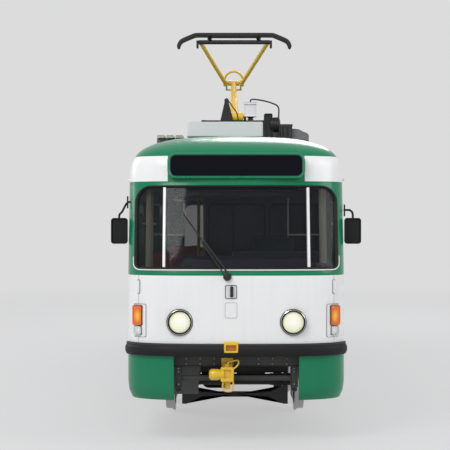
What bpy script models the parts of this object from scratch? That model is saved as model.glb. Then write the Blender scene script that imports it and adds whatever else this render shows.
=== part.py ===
"""A single-ended four-axle city tram, 14 m long, as an assembly of separate pieces.

Metres, +Z up. The front faces -Y, the doors are on -X, and the origin lies under the middle of the
car at the lowest point of the wheel flanges. Heights are given above that point.
"""
import math

import bmesh
import bpy
from mathutils import Matrix, Vector

# Clearances and plate sizes
SEAT = 0.0003                 # air between pieces that rest on each other
RUNNING = 0.006               # air between moving pieces
WALL = 0.050                  # body panels, as thick as the whole wall
GLASS = 0.008

# Body shell: one row per level of the outer skin, from the skirt's edge up to the crown
HALF_WIDTH = 1.100
HALF_LENGTH = 6.960
CORNER_POWER = 3.0            # superellipse power of the rounded ends seen from above
CORNER_STEPS = 6              # facets in a quarter of an end
SKIRT_BOTTOM = 0.420
GUTTER = 2.600                # the roof panel starts here
CROWN = 3.108
CUT_REACH = 0.200             # cutters run this far past the sides, inwards and outwards
# height, inset of the side, inset of the end, depth of the rounded end
HULL = (
    (SKIRT_BOTTOM, 0.040, 0.100, 0.560),
    (0.500, 0.010, 0.050, 0.590),
    (0.600, 0.000, 0.030, 0.600),
    (1.000, 0.000, 0.000, 0.620),
    (1.660, 0.000, 0.010, 0.620),
    (1.740, 0.000, 0.030, 0.615),
    (2.560, 0.000, 0.255, 0.585),
    (GUTTER, 0.000, 0.265, 0.580),
    (2.760, 0.012, 0.285, 0.570),
    (2.870, 0.060, 0.325, 0.545),
    (2.950, 0.140, 0.420, 0.520),
    (3.020, 0.290, 0.590, 0.480),
    (3.070, 0.480, 0.860, 0.420),
    (CROWN, 0.860, 1.300, 0.200),
)
END_SPLIT = 6.300             # the end shells are bolted to the side walls here
DRIP_END, DRIP_PROUD = 6.100, 0.030

# Windows and doorways along the sides
BAY = 1.400
WINDOW_WIDTH = 1.160
WINDOW_LOW, WINDOW_HIGH, WINDOW_RADIUS = 1.650, 2.420, 0.080
SILL_BOARD = (0.060, 0.030, 0.015)    # the window board's width, drop and rise about the sill
BOARD_CLEAR = 0.002
WINDOW_BAYS = range(-4, 5)
DOOR_BAYS = (-4, 0, 4)        # bays of the right side that hold a doorway
DOORWAY_WIDTH = 1.300
DOORWAY_TOP = 2.450
ARCH_LENGTH, ARCH_TOP, ARCH_RADIUS = 2.900, 0.790, 0.150

# Front and rear end
SCREEN_HALF_WIDTH = HALF_WIDTH - 0.085
SCREEN_LOW, SCREEN_HIGH = 1.730, 2.550
SCREEN_TOP_RADIUS, SCREEN_BOTTOM_RADIUS = 0.160, 0.050
REAR_SCREEN_HALF_WIDTH = HALF_WIDTH - 0.200
PANE_DEPTH = 0.012            # the end panes lie this far under the skin
BUMPER_LOW, BUMPER_HIGH, BUMPER_DEPTH = 0.865, 0.990, 0.040
BUMPER_END = 6.560            # where the bumper's ends stop on the body's corners
APRON_GAP = 0.620             # half width of the opening between the front skirts
LAMP_X, LAMP_Z = 0.560, 1.200
LAMP_RADIUS, LAMP_LENS_RADIUS = 0.1325, 0.0985
LAMP_FRONT, LAMP_DEPTH, LAMP_SIDES = 0.035, 0.100, 16   # proud of the skin, behind it, facets
CORNER_LAMP_X, CORNER_LAMP_Z = HALF_WIDTH - 0.125, 1.265
CORNER_LAMP_SIZE = (0.085, 0.290)
TAIL_LAMP_X, TAIL_LAMP_Z = HALF_WIDTH - 0.300, 1.200
TAIL_LAMP_SIZE = (0.120, 0.300)
CORNER_LAMP_PROUD = 0.012
SIGN_HALF_WIDTH, SIGN_LOW, SIGN_HIGH = 0.690, 2.625, 2.885
SIGN_FRONT, SIGN_BACK = 6.725, 6.300
SIGN_RADIUS, SIGN_RIM, SIGN_RECESS = 0.085, 0.028, 0.012
POCKET_X, POCKET_LOW, POCKET_HIGH = (-0.123, 0.017), 0.902, 1.010      # the coupling pocket in the front bumper
POCKET_FRONT, POCKET_DEPTH, POCKET_RIM = HALF_LENGTH + BUMPER_DEPTH - 0.0015, 0.034, 0.020

# Wiper, as (x, z) places on the front: spindle, knuckle, and the blade's two ends
WIPER_SPINDLE, WIPER_KNUCKLE = (-0.090, 1.650), (-0.330, 1.990)
WIPER_TIP, WIPER_HEEL = (-0.530, 2.270), (-0.165, 1.760)
WIPER_CAP_RADIUS, WIPER_ARM_RADIUS, WIPER_BLADE_RADIUS = 0.040, 0.0085, 0.0090

# Floor and steps
FLOOR_TOP, FLOOR_THICK = 0.900, 0.040
STEP_PLATE = 0.015
SILL_X, SILL_WIDTH, SILL_LOW = 0.300, 0.080, 0.750     # the underframe's two long sills
STEP_OUTER, STEP_INNER = HALF_WIDTH - 0.100, SILL_X + SILL_WIDTH / 2 + 0.060
STEP_MIDDLE = (STEP_OUTER + STEP_INNER) / 2
STEP_TREADS = ((-STEP_OUTER, -STEP_MIDDLE, 0.435), (-STEP_MIDDLE, -STEP_INNER, 0.660))   # outer x, inner x, top
STEP_NOSE_X = -(HALF_WIDTH - 0.055)
WELL_SIDE = 0.020
CHEEK_THICK, CHEEK_TOP = 0.0035, 0.720        # plates at the lower step's ends, in the doorway

# Underframe
END_BEAM_Y, END_BEAM_DEPTH, END_BEAM_HALF = 6.760, 0.080, APRON_GAP + 0.030
POST_WIDTH, POST_LOW = 0.074, 0.540
POST_X = APRON_GAP - POST_WIDTH / 2 - 0.006
LOW_BEAM = (0.610, 0.660)
CROSS_BEAMS = (-4.800, -1.200, 1.200, 4.800)
PIVOT_RADIUS = 0.130
BRACKET_OUT = HALF_WIDTH - 0.150          # the middle cross beams reach out to here
# equipment boxes below the floor, as two corners each
EQUIPMENT = (
    ((0.300, -1.420, 0.460), (HALF_WIDTH - 0.140, -0.150, 0.780)),
    ((0.300, 0.150, 0.500), (HALF_WIDTH - 0.140, 1.420, 0.780)),
    ((-0.360, -1.050, 0.480), (0.100, 1.050, 0.800)),
)

# Bogies and wheels
BOGIE_Y = 3.200
WHEELBASE = 1.900
FLANGE_RADIUS, TREAD_RADIUS = 0.360, 0.338
WHEEL_INNER_X, FLANGE_WIDTH, TYRE_WIDTH = 0.685, 0.030, 0.110
HUB_RADIUS, DISC_X, DISC_THICK = 0.110, 0.735, 0.028
AXLE_RADIUS, AXLE_END = 0.070, 0.815
JOURNAL_RUNNING = 0.0045      # the bearing's corners over the axle's radius
WHEEL_STEPS = 12
BEARING_SIDES = 10
BEAM_X, BEAM_WIDTH = 0.500, 0.110
BEAM_LOW, BEAM_HIGH = 0.460, 0.590
BOLSTER_TOP = 0.640
BEARING_HALF = 0.120
MOTOR_SIZE = (0.340, 0.520, 0.330)
MOTOR_X, MOTOR_Y, MOTOR_Z = 0.210, 0.470, 0.400
BRAKE_X, BRAKE_HALF, BRAKE_LOW, BRAKE_HIGH, BRAKE_WIDTH = 0.740, 0.330, 0.040, 0.150, 0.070
GUARD_Y, GUARD_Z, GUARD_HALF = 1.440, 0.240, 0.600

# Folding doors: all leaves share these sizes
LEAF_THICK = 0.035
LEAF_SPAN = 0.296             # from jamb pivot to fold hinge, and on to the guide
LEAF_END = 0.020              # leaf beyond its jamb pivot or guide
JAMB_CLEAR = 0.012
FOLD_CLEAR = 0.006            # half the slit between two leaves at the fold hinge
FOLD_PROUD = 0.003            # the fold hinge's axis in front of the leaf's face
LEAF_CLEAR = 0.010
DOOR_PLANE = HALF_WIDTH - 0.035 - LEAF_THICK / 2
JAMB_PIN_RADIUS = 0.008
STRAP_PAST, STRAP_LENGTH, STRAP_HEIGHT = 0.003, 0.024, 0.060   # hinge straps, past the fold hinge's axis
STRAP_HEIGHTS = (0.620, 1.465, 2.310)
LEAF_WINDOW = (0.780, 2.300, 0.045)       # low, high, frame beside the glass

# Roof equipment
AC_X, AC_HALF_WIDTH, AC_FRONT, AC_LENGTH = -0.113, 0.423, -5.000, 0.950
AC_LOW, AC_HIGH, AC_FOOT = 3.150, 3.310, 0.090
CRATE_X = (HALF_WIDTH - 0.580, HALF_WIDTH - 0.340)
CRATE_FRONT, CRATE_LENGTH, CRATE_TOP = -2.150, 1.500, 3.470
FIN_COUNT, FIN_THICK, FIN_X = 9, 0.030, HALF_WIDTH - 0.120
BOARD_X = (HALF_WIDTH - 0.540, HALF_WIDTH - 0.240)
BOARD_Y, BOARD_Z, BOARD_THICK = (-5.400, -2.500), 3.135, 0.025
BOARD_COUNT, BOARD_WIDTH, BEARER_COUNT, BEARER_WIDTH = 3, 0.084, 3, 0.050
ELECTRICS_Y, ELECTRICS_HALF = -3.850, 0.120              # the line of electrical gear across the roof

# Lifting bows of a folded coupler as (x, z), above and below its head
COUPLER_BOWS = (
    ((-0.096, 0.735), (-0.084, 0.795), (-0.060, 0.812), (0.008, 0.824), (0.022, 0.804), (0.006, 0.770), (-0.036, 0.738)),
    ((-0.126, 0.636), (-0.136, 0.570), (-0.124, 0.530), (-0.104, 0.518), (-0.060, 0.518), (-0.040, 0.532), (-0.032, 0.570),
     (-0.044, 0.636)),
)

# Pantograph, seen from the side as (y, z)
BASE_PIVOT = (-3.000, 3.500)
LOWER_LENGTH, LOWER_ANGLE = 1.080, 28.2
UPPER_LENGTH, UPPER_ANGLE = 1.260, 18.2
ARM_RADIUS, UPPER_RADIUS = 0.058, 0.0265
UPPER_FOOT_X, UPPER_HEAD_X = 0.108, 0.416
ROD_RADIUS, ROD_PIVOT, ROD_LENGTH, ROD_ANGLE = 0.012, (-2.800, 3.400), 1.006, 32.04
ARM_PIN_RADIUS, ARM_PIN_HOLE = 0.0140, 0.0148
ROD_FOOT_RADIUS, ROD_EYE_RADIUS, ROD_EYE_HOLE, ROD_EYE_HALF, TAIL_PIN_RADIUS = 0.022, 0.030, 0.018, 0.015, 0.010
TAIL_LENGTH, TAIL_ANGLE = 0.127, -37.2    # the upper arm's crank below the knee
KNEE_RADIUS, KNEE_HALF, EAR_X = 0.032, 0.075, (0.0803, 0.1330)
BRACE_RADIUS, BRACE_RISE, BRACE_FOOT, BRACE_CREST = 0.015, 0.088, 0.060, 0.180   # arched brace over the knee
BASE_FRAME = (0.400, -3.500, -2.300, 3.370, 3.430)   # half width, front, back, low, high
BOW_HALF_FLAT, BOW_HALF_WIDTH, BOW_DROP, BOW_RADIUS = 0.4585, 0.6835, 0.150, 0.020
BOW_RISE, BOW_SPACING = 0.085, 0.160

# Mirrors: centre, size of the head, where the arm is fixed
MIRROR_CENTRE, MIRROR_SIZE = (HALF_WIDTH + 0.095, -6.350, 2.100), (0.170, 0.050, 0.265)
MIRROR_FOOT_Z, ARM_TUBE = 2.390, 0.012

# Inside
PARTITION_Y, PARTITION_X = -4.915, (-0.330, HALF_WIDTH - WALL)
PARTITION_THICK, PARTITION_TOP = 0.030, GUTTER - 0.040
PARTITION_WINDOW = (0.350, 0.300, 1.800, 2.380)          # from the edge to the middle, half width, low, high
DESK_X, DESK_BACK, DESK_TOP = (-0.330, HALF_WIDTH - 0.120), -6.050, 1.780
DESK_CLEAR, DESK_STEPS, DESK_DEPTH = 0.012, 7, 0.200
DRIVER_SEAT = (HALF_WIDTH - 0.680, -5.400)
SEAT_PITCH, SEAT_WIDTH, SEAT_DEPTH, SEAT_TOP, SEAT_BACK_TOP = 0.780, 0.420, 0.420, 1.340, 1.800
SEAT_SHELL = 0.035
SEAT_RAIL = (0.050, 1.180, 1.300)         # thickness, low, high
POST_RADIUS, RAIL_X, RAIL_Z = 0.017, HALF_WIDTH - 0.670, 2.750
POST_PLACES = (-3.600, 1.500, 4.300)

PAINTS = {
    # name: (colour, roughness, metallic)
    "green_paint": ((0.0, 0.190, 0.082, 1), 0.30, 0.0),
    "white_paint": ((0.86, 0.86, 0.86, 1), 0.30, 0.0),
    "black_rubber": ((0.012, 0.012, 0.012, 1), 0.70, 0.0),
    "glass": ((0.05, 0.07, 0.07, 1), 0.05, 0.0),
    "grey_steel": ((0.18, 0.18, 0.19, 1), 0.50, 0.8),
    "dark_steel": ((0.035, 0.037, 0.04, 1), 0.50, 0.6),
    "wheel_steel": ((0.30, 0.28, 0.26, 1), 0.40, 0.9),
    "yellow_paint": ((0.91, 0.63, 0.014, 1), 0.40, 0.0),
    "lamp_lens": ((0.93, 0.88, 0.60, 1), 0.15, 0.0),
    "light_grey": ((0.74, 0.74, 0.75, 1), 0.40, 0.0),
    "crate_grey": ((0.03, 0.035, 0.038, 1), 0.60, 0.0),
    "grey_plastic": ((0.25, 0.26, 0.27, 1), 0.60, 0.0),
    "seat_fabric": ((0.03, 0.10, 0.09, 1), 0.90, 0.0),
    "seat_shell": ((0.42, 0.055, 0.030, 1), 0.45, 0.0),
    "board_wood": ((0.55, 0.52, 0.46, 1), 0.80, 0.0),
    "rail_yellow": ((0.80, 0.52, 0.02, 1), 0.35, 0.0),
}

for old in list(bpy.data.objects):
    bpy.data.objects.remove(old, do_unlink=True)
TRAM = bpy.data.collections.new("tram")
CUTTERS = bpy.data.collections.new("cutters")
for folder in (TRAM, CUTTERS):
    bpy.context.scene.collection.children.link(folder)


def finish(name):
    """The material of this name, made once from the table of paints."""
    found = bpy.data.materials.get(name)
    if found:
        return found
    colour, roughness, metallic = PAINTS[name]
    found = bpy.data.materials.new(name)
    found.use_nodes = True
    shader = found.node_tree.nodes["Principled BSDF"]
    shader.inputs["Base Color"].default_value = colour
    shader.inputs["Roughness"].default_value = roughness
    shader.inputs["Metallic"].default_value = metallic
    found.diffuse_color = colour
    return found


# Solids as bmesh


def box(low, high):
    """A box between two corners."""
    low, high = Vector(low), Vector(high)
    solid = bmesh.new()
    size = high - low
    bmesh.ops.create_cube(solid, size=1.0, matrix=Matrix.Translation((low + high) / 2) @ Matrix.Diagonal((*size, 1.0)))
    return solid


def centred_box(centre, size):
    """A box of this size around its centre."""
    centre, half = Vector(centre), Vector(size) / 2
    return box(centre - half, centre + half)


def rod(start, end, radius, sides=12, end_radius=None):
    """A round bar or cone between two points."""
    start, end = Vector(start), Vector(end)
    along = end - start
    solid = bmesh.new()
    turn = along.to_track_quat("Z", "Y").to_matrix().to_4x4()
    bmesh.ops.create_cone(
        solid, cap_ends=True, segments=sides, radius1=radius,
        radius2=radius if end_radius is None else end_radius,
        depth=along.length, matrix=Matrix.Translation((start + end) / 2) @ turn)
    return solid


def prism(outline, axis, low, high):
    """A flat outline drawn across an axis and extruded along it, from low to high."""
    places = {"X": lambda u, v: (low, u, v), "Y": lambda u, v: (u, low, v), "Z": lambda u, v: (u, v, low)}
    along = {"X": Vector((1, 0, 0)), "Y": Vector((0, 1, 0)), "Z": Vector((0, 0, 1))}[axis] * (high - low)
    solid = bmesh.new()
    face = solid.faces.new([solid.verts.new(places[axis](u, v)) for u, v in outline])
    made = bmesh.ops.extrude_face_region(solid, geom=[face])["geom"]
    bmesh.ops.translate(solid, vec=along, verts=[v for v in made if isinstance(v, bmesh.types.BMVert)])
    bmesh.ops.recalc_face_normals(solid, faces=solid.faces)
    return solid


def tube(points, radius, resolution=1):
    """A bent round tube through these points, made from a curve with a bevel."""
    curve = bpy.data.curves.new("tube", "CURVE")
    curve.dimensions = "3D"
    curve.bevel_depth = radius
    curve.bevel_resolution = resolution
    curve.use_fill_caps = True
    spline = curve.splines.new("POLY")
    spline.points.add(len(points) - 1)
    for point, place in zip(spline.points, points):
        point.co = (*place, 1.0)
    holder = bpy.data.objects.new("tube", curve)
    CUTTERS.objects.link(holder)
    bpy.context.view_layer.update()
    mesh = bpy.data.meshes.new_from_object(holder.evaluated_get(bpy.context.evaluated_depsgraph_get()))
    solid = bmesh.new()
    solid.from_mesh(mesh)
    bmesh.ops.remove_doubles(solid, verts=solid.verts, dist=1e-5)
    bmesh.ops.recalc_face_normals(solid, faces=solid.faces)
    bpy.data.objects.remove(holder, do_unlink=True)
    bpy.data.meshes.remove(mesh)
    return solid


def rounded(half_width, low, high, radii, steps=3, centre=0.0):
    """An upright rounded rectangle; radii are those of its bottom and its top corners."""
    bottom, top = radii
    corners = (
        (centre + half_width - bottom, low + bottom, bottom, -90),
        (centre + half_width - top, high - top, top, 0),
        (centre - half_width + top, high - top, top, 90),
        (centre - half_width + bottom, low + bottom, bottom, 180),
    )
    points = []
    for u, v, radius, start in corners:
        for step in range(steps + 1):
            angle = math.radians(start + 90 * step / steps)
            points.append((u + radius * math.cos(angle), v + radius * math.sin(angle)))
    return points


def softened(solid, radius, steps=2):
    """The solid with all its edges rounded."""
    bmesh.ops.bevel(solid, geom=list(solid.edges), offset=radius, segments=steps, profile=0.5, affect="EDGES")
    return solid


def mirrored(solid, axis):
    """A copy on the other side of the middle plane across this axis."""
    other = solid.copy()
    scale = [1, 1, 1]
    scale["XYZ".index(axis)] = -1
    bmesh.ops.scale(other, vec=scale, verts=other.verts)
    bmesh.ops.reverse_faces(other, faces=other.faces)
    return other


def turned_round(solid):
    """A copy turned half round about the car's upright centre line."""
    other = solid.copy()
    bmesh.ops.rotate(other, cent=(0, 0, 0), matrix=Matrix.Rotation(math.pi, 3, "Z"), verts=other.verts)
    return other


def both_sides(solid):
    return [solid, mirrored(solid, "X")]


# Objects from solids


def mesh_of(name, solids):
    whole = bmesh.new()
    for solid in solids:
        part = bpy.data.meshes.new("part")
        solid.to_mesh(part)
        whole.from_mesh(part)
        bpy.data.meshes.remove(part)
    mesh = bpy.data.meshes.new(name)
    whole.to_mesh(mesh)
    whole.free()
    return mesh


def guide(name, solids):
    """A hidden object that cuts or is joined to another."""
    helper = bpy.data.objects.new(name, mesh_of(name, solids))
    helper.hide_render = True
    helper.display_type = "WIRE"
    CUTTERS.objects.link(helper)
    return helper


def combine(target, operation, solids, label):
    """Adds one exact Boolean of these solids to an object."""
    if not solids:
        return
    modifier = target.modifiers.new(label, "BOOLEAN")
    modifier.operation = operation
    modifier.solver = "EXACT"
    modifier.use_self = len(solids) > 1
    modifier.object = guide(f"{target.name}_{label}", solids)


def node(name, paint, solids, cuts=(), extra_cuts=()):
    """One named piece: the first solid joined with the others, less the cuts."""
    solids = list(solids)
    made = bpy.data.objects.new(name, mesh_of(name, solids[:1]))
    TRAM.objects.link(made)
    made.data.materials.append(finish(paint))
    combine(made, "UNION", solids[1:], "join")
    combine(made, "DIFFERENCE", list(cuts), "cut")
    combine(made, "DIFFERENCE", list(extra_cuts), "second_cut")
    return made


# The body's outer skin


def hull_row(height):
    """Half width, half length and end depth of the skin at this height, between the rows of the table."""
    rows = HULL
    for lower, upper in zip(rows, rows[1:]):
        if height <= upper[0]:
            share = max(0.0, (height - lower[0]) / (upper[0] - lower[0]))
            side, end, depth = (lower[i] + share * (upper[i] - lower[i]) for i in (1, 2, 3))
            return HALF_WIDTH - side, HALF_LENGTH - end, depth
    return HALF_WIDTH - rows[-1][1], HALF_LENGTH - rows[-1][2], rows[-1][3]


def end_curve(width, length, depth):
    """Plan points of the rear end from +X round to -X, on a superellipse."""
    points = []
    for step in range(2 * CORNER_STEPS + 1):
        angle = math.pi / 2 * step / CORNER_STEPS
        across, along = abs(math.cos(angle)), abs(math.sin(angle))
        reach = (across ** CORNER_POWER + along ** CORNER_POWER) ** (-1 / CORNER_POWER)
        side = width * across * reach * (1 if step <= CORNER_STEPS else -1)
        points.append((side, length - depth + depth * along * reach))
    return points


def plan(height, inset=0.0):
    """The whole plan outline of the skin at this height, counter-clockwise, drawn in by the inset."""
    width, length, depth = hull_row(height)
    rear = end_curve(width - inset, length - inset, depth - inset)
    return rear + [(-x, -y) for x, y in rear]


def reach_at(x, points):
    """How far from the middle a rear plan curve lies at this distance from the centre line."""
    quarter = points[:CORNER_STEPS + 1]
    for (outer_x, outer_y), (inner_x, inner_y) in zip(quarter, quarter[1:]):
        if inner_x <= abs(x) <= outer_x:
            share = (outer_x - abs(x)) / (outer_x - inner_x)
            return outer_y + share * (inner_y - outer_y)
    return quarter[0][1]


def end_at(x, height):
    """How far from the middle the faceted skin's end lies at this distance from the centre line."""
    return reach_at(x, end_curve(*hull_row(height)))


def off_front(place, lift):
    """A point at this (x, z) place on the front, lifted off the skin."""
    x, z = place
    return x, -(end_at(x, z) + lift), z


def side_at(y, height):
    """Half width of the faceted skin at this place along the car."""
    points = end_curve(*hull_row(height))[:CORNER_STEPS + 1]
    for (outer_x, near_y), (inner_x, far_y) in zip(points, points[1:]):
        if near_y <= abs(y) <= far_y:
            return outer_x + (abs(y) - near_y) / (far_y - near_y) * (inner_x - outer_x)
    return points[0][0]


def roof_at(x):
    """Height of the roof's skin at this distance from the centre line, away from its ends."""
    rows = [(HALF_WIDTH - side, height) for height, side, _, _ in HULL if height >= GUTTER]
    for (outer, low), (inner, high) in zip(rows, rows[1:]):
        if inner <= abs(x) <= outer and outer > inner:
            return low + (outer - abs(x)) / (outer - inner) * (high - low)
    return CROWN


def roof_line(far, near):
    """The roof's cross-section between two distances from the centre line, from the outside in."""
    levels = [(HALF_WIDTH - side, height) for height, side, _, _ in HULL if height >= GUTTER]
    between = [(x, z) for x, z in levels if near < x < far]
    return [(far, roof_at(far)), *between, (near, roof_at(near))]


def skin_mesh():
    """The skin as rings of plan points joined by quads, closed on top and open below."""
    skin = bmesh.new()
    rings = [[skin.verts.new((x, y, row[0])) for x, y in plan(row[0])] for row in HULL]
    for lower, upper in zip(rings, rings[1:]):
        for i in range(len(lower)):
            j = (i + 1) % len(lower)
            skin.faces.new((lower[i], lower[j], upper[j], upper[i]))
    skin.faces.new(rings[-1])
    mesh = bpy.data.meshes.new("skin")
    skin.to_mesh(mesh)
    skin.free()
    return mesh


FAR = 8.0                     # beyond every side of the car, for cutters
ROOF_SEAM = 5.200             # where the domed ends of the roof meet its middle


def panel(name, paint, skin, low, high, joins=(), cuts=()):
    """The stretch of the body's shell between two corners of a box, less its cuts."""
    made = bpy.data.objects.new(name, skin.copy())
    TRAM.objects.link(made)
    made.data.materials.append(finish(paint))
    wall = made.modifiers.new("wall", "SOLIDIFY")
    wall.thickness = WALL
    wall.offset = -1.0
    wall.use_even_offset = True
    combine(made, "INTERSECT", [box(low, high)], "bounds")
    combine(made, "UNION", list(joins), "join")
    combine(made, "DIFFERENCE", list(cuts), "cut")
    return made


def through_side(outline, side):
    """A cutter with this (y, z) outline through one side wall."""
    return prism(outline, "X", *sorted((side * (HALF_WIDTH - CUT_REACH), side * (HALF_WIDTH + CUT_REACH))))


def window_outline(y, shrink=0.0):
    """A side window about this place along the car."""
    radii = (WINDOW_RADIUS, WINDOW_RADIUS)
    return rounded(WINDOW_WIDTH / 2 - shrink, WINDOW_LOW + shrink, WINDOW_HIGH - shrink, radii, 2, y)


def doorway_cut(y):
    low, reach = SKIRT_BOTTOM - CUT_REACH, DOORWAY_WIDTH / 2
    outline = ((y - reach, low), (y + reach, low), (y + reach, DOORWAY_TOP), (y - reach, DOORWAY_TOP))
    return through_side(outline, -1)


def arch_cut(y, side):
    """The wheel arch in a side wall: square below and rounded above."""
    return through_side(rounded(ARCH_LENGTH / 2, SKIRT_BOTTOM - CUT_REACH, ARCH_TOP, (0.01, ARCH_RADIUS), 3, y), side)


def screen_outline(half_width, shrink=0.0):
    """Front or rear window, with large upper corners."""
    radii = (SCREEN_BOTTOM_RADIUS, SCREEN_TOP_RADIUS)
    return rounded(half_width - shrink, SCREEN_LOW + shrink, SCREEN_HIGH - shrink, radii, 3)


def make_shell():
    skin = skin_mesh()
    half = SEAT / 2
    left_cuts = [through_side(window_outline(bay * BAY), 1) for bay in WINDOW_BAYS]
    left_cuts += [arch_cut(y, 1) for y in (-BOGIE_Y, BOGIE_Y)]
    right_cuts = [through_side(window_outline(bay * BAY), -1) for bay in WINDOW_BAYS if bay not in DOOR_BAYS]
    right_cuts += [doorway_cut(bay * BAY) for bay in DOOR_BAYS] + [arch_cut(y, -1) for y in (-BOGIE_Y, BOGIE_Y)]
    span = END_SPLIT - half
    outside, inside, top = HALF_WIDTH + CUT_REACH, HALF_WIDTH / 2, GUTTER - half
    panel("side_wall_left", "green_paint", skin, (inside, -span, 0), (outside, span, top), cuts=left_cuts)
    panel("side_wall_right", "green_paint", skin, (-outside, -span, 0), (-inside, span, top), cuts=right_cuts)

    gap = box((-APRON_GAP, -FAR, 0), (APRON_GAP, -END_SPLIT - 0.2, BUMPER_LOW))
    screen = prism(screen_outline(SCREEN_HALF_WIDTH), "Y", -FAR, -END_SPLIT - 0.05)
    lamp_holes = both_sides(rod((LAMP_X, -FAR, LAMP_Z), (LAMP_X, -6.5, LAMP_Z), LAMP_RADIUS + SEAT, LAMP_SIDES))
    corner_lamps = lamp_housings(CORNER_LAMP_X, CORNER_LAMP_Z, CORNER_LAMP_SIZE, -1)
    panel("front_end", "white_paint", skin, (-outside, -FAR, 0), (outside, -END_SPLIT - half, top),
          joins=corner_lamps, cuts=[gap, screen, *lamp_holes])
    rear_gap = turned_round(gap)
    rear_screen = prism(screen_outline(REAR_SCREEN_HALF_WIDTH), "Y", END_SPLIT + 0.05, FAR)
    tail_lamps = lamp_housings(TAIL_LAMP_X, TAIL_LAMP_Z, TAIL_LAMP_SIZE, 1)
    panel("rear_end", "white_paint", skin, (-outside, END_SPLIT + half, 0), (outside, FAR, top),
          joins=tail_lamps, cuts=[rear_gap, rear_screen])
    make_roof(skin)
    make_screens()


def make_roof(skin):
    """The roof's two domed ends and its middle, each with its stretch of the drip rails."""
    half, outside = SEAT / 2, HALF_WIDTH + CUT_REACH
    sign_hole = prism(sign_outline(-SEAT), "Y", -FAR, -SIGN_BACK)
    places = (("front", -FAR, -ROOF_SEAM - half), ("middle", -ROOF_SEAM + half, ROOF_SEAM - half), ("rear", ROOF_SEAM + half, FAR))
    for place, near, far in places:
        drip_low = (HALF_WIDTH - 0.02, max(near, -DRIP_END), GUTTER + 0.012)
        drip = box(drip_low, (HALF_WIDTH + DRIP_PROUD, min(far, DRIP_END), GUTTER + 0.040))
        panel(f"roof_{place}", "green_paint", skin, (-outside, near, GUTTER + half), (outside, far, CROWN + 0.1),
              joins=both_sides(drip), cuts=[sign_hole] if place == "front" else [])


def lamp_housings(x, z, size, facing):
    """A pair of upright lamp housings that stand a little out of an end's skin."""
    width, height = size
    reach = end_at(x - width / 2, z)
    shallow = end_at(x + width / 2, z)
    outline = rounded(width / 2, z - height / 2, z + height / 2, (0.02, 0.02), 2, x)
    near, far = facing * (shallow - WALL * 0.8), facing * (reach + CORNER_LAMP_PROUD)
    return both_sides(prism(outline, "Y", min(near, far), max(near, far)))


def make_screens():
    """Windshield and rear window: bent panes in the middle of the wall's thickness."""
    for name, half_width, facing in (("windshield", SCREEN_HALF_WIDTH, -1), ("rear_window", REAR_SCREEN_HALF_WIDTH, 1)):
        near, far = sorted((facing * (END_SPLIT + 0.06), facing * FAR))
        pane = bent_pane(PANE_DEPTH, PANE_DEPTH + GLASS)
        outline = prism(screen_outline(half_width, SEAT), "Y", near, far)
        made = node(name, "glass", [pane])
        combine(made, "INTERSECT", [outline], "edge")


def bent_pane(outer, inner):
    """A band of the shell around the windows' height, between two depths under the skin."""
    levels = [SCREEN_LOW - 0.03, 1.740, SCREEN_HIGH + 0.01, GUTTER - 0.02]
    pane = bmesh.new()
    walls = []
    for depth in (outer, inner):
        walls.append([[pane.verts.new((x, y, z)) for x, y in plan(z, depth)] for z in levels])
    count = len(walls[0][0])
    for rings, flip in ((walls[0], False), (walls[1], True)):
        for lower, upper in zip(rings, rings[1:]):
            for i in range(count):
                j = (i + 1) % count
                face = (lower[i], lower[j], upper[j], upper[i])
                pane.faces.new(face[::-1] if flip else face)
    for level, flip in ((0, True), (-1, False)):
        for i in range(count):
            j = (i + 1) % count
            face = (walls[0][level][i], walls[0][level][j], walls[1][level][j], walls[1][level][i])
            pane.faces.new(face[::-1] if flip else face)
    bmesh.ops.recalc_face_normals(pane, faces=pane.faces)
    return pane


def make_side_windows():
    """Panes that stand on the inner sill board, one board between two doorways."""
    pane_x = HALF_WIDTH - 0.018
    board = (HALF_WIDTH - WALL - SILL_BOARD[0], HALF_WIDTH - WALL - SEAT)
    board_low = WINDOW_LOW - SILL_BOARD[1]

    def band(side, bays):
        first, last = bays[0] * BAY - WINDOW_WIDTH / 2, bays[-1] * BAY + WINDOW_WIDTH / 2
        solids = [box((board[0], first, board_low), (board[1], last, WINDOW_LOW + SILL_BOARD[2]))]
        lip, lip_low = WINDOW_WIDTH / 2 - WINDOW_RADIUS, WINDOW_LOW + SEAT
        for y in (bay * BAY for bay in bays):
            solids.append(prism(window_outline(y, SEAT), "X", pane_x - GLASS, pane_x))
            solids.append(box((board[0] + 0.01, y - lip, lip_low), (pane_x - GLASS / 2, y + lip, WINDOW_LOW + 0.012)))
        return solids if side > 0 else [mirrored(solid, "X") for solid in solids]

    node("side_windows_left", "glass", band(1, WINDOW_BAYS))
    node("side_windows_right_front", "glass", band(-1, [-3, -2, -1]))
    node("side_windows_right_rear", "glass", band(-1, [1, 2, 3]))


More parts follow.
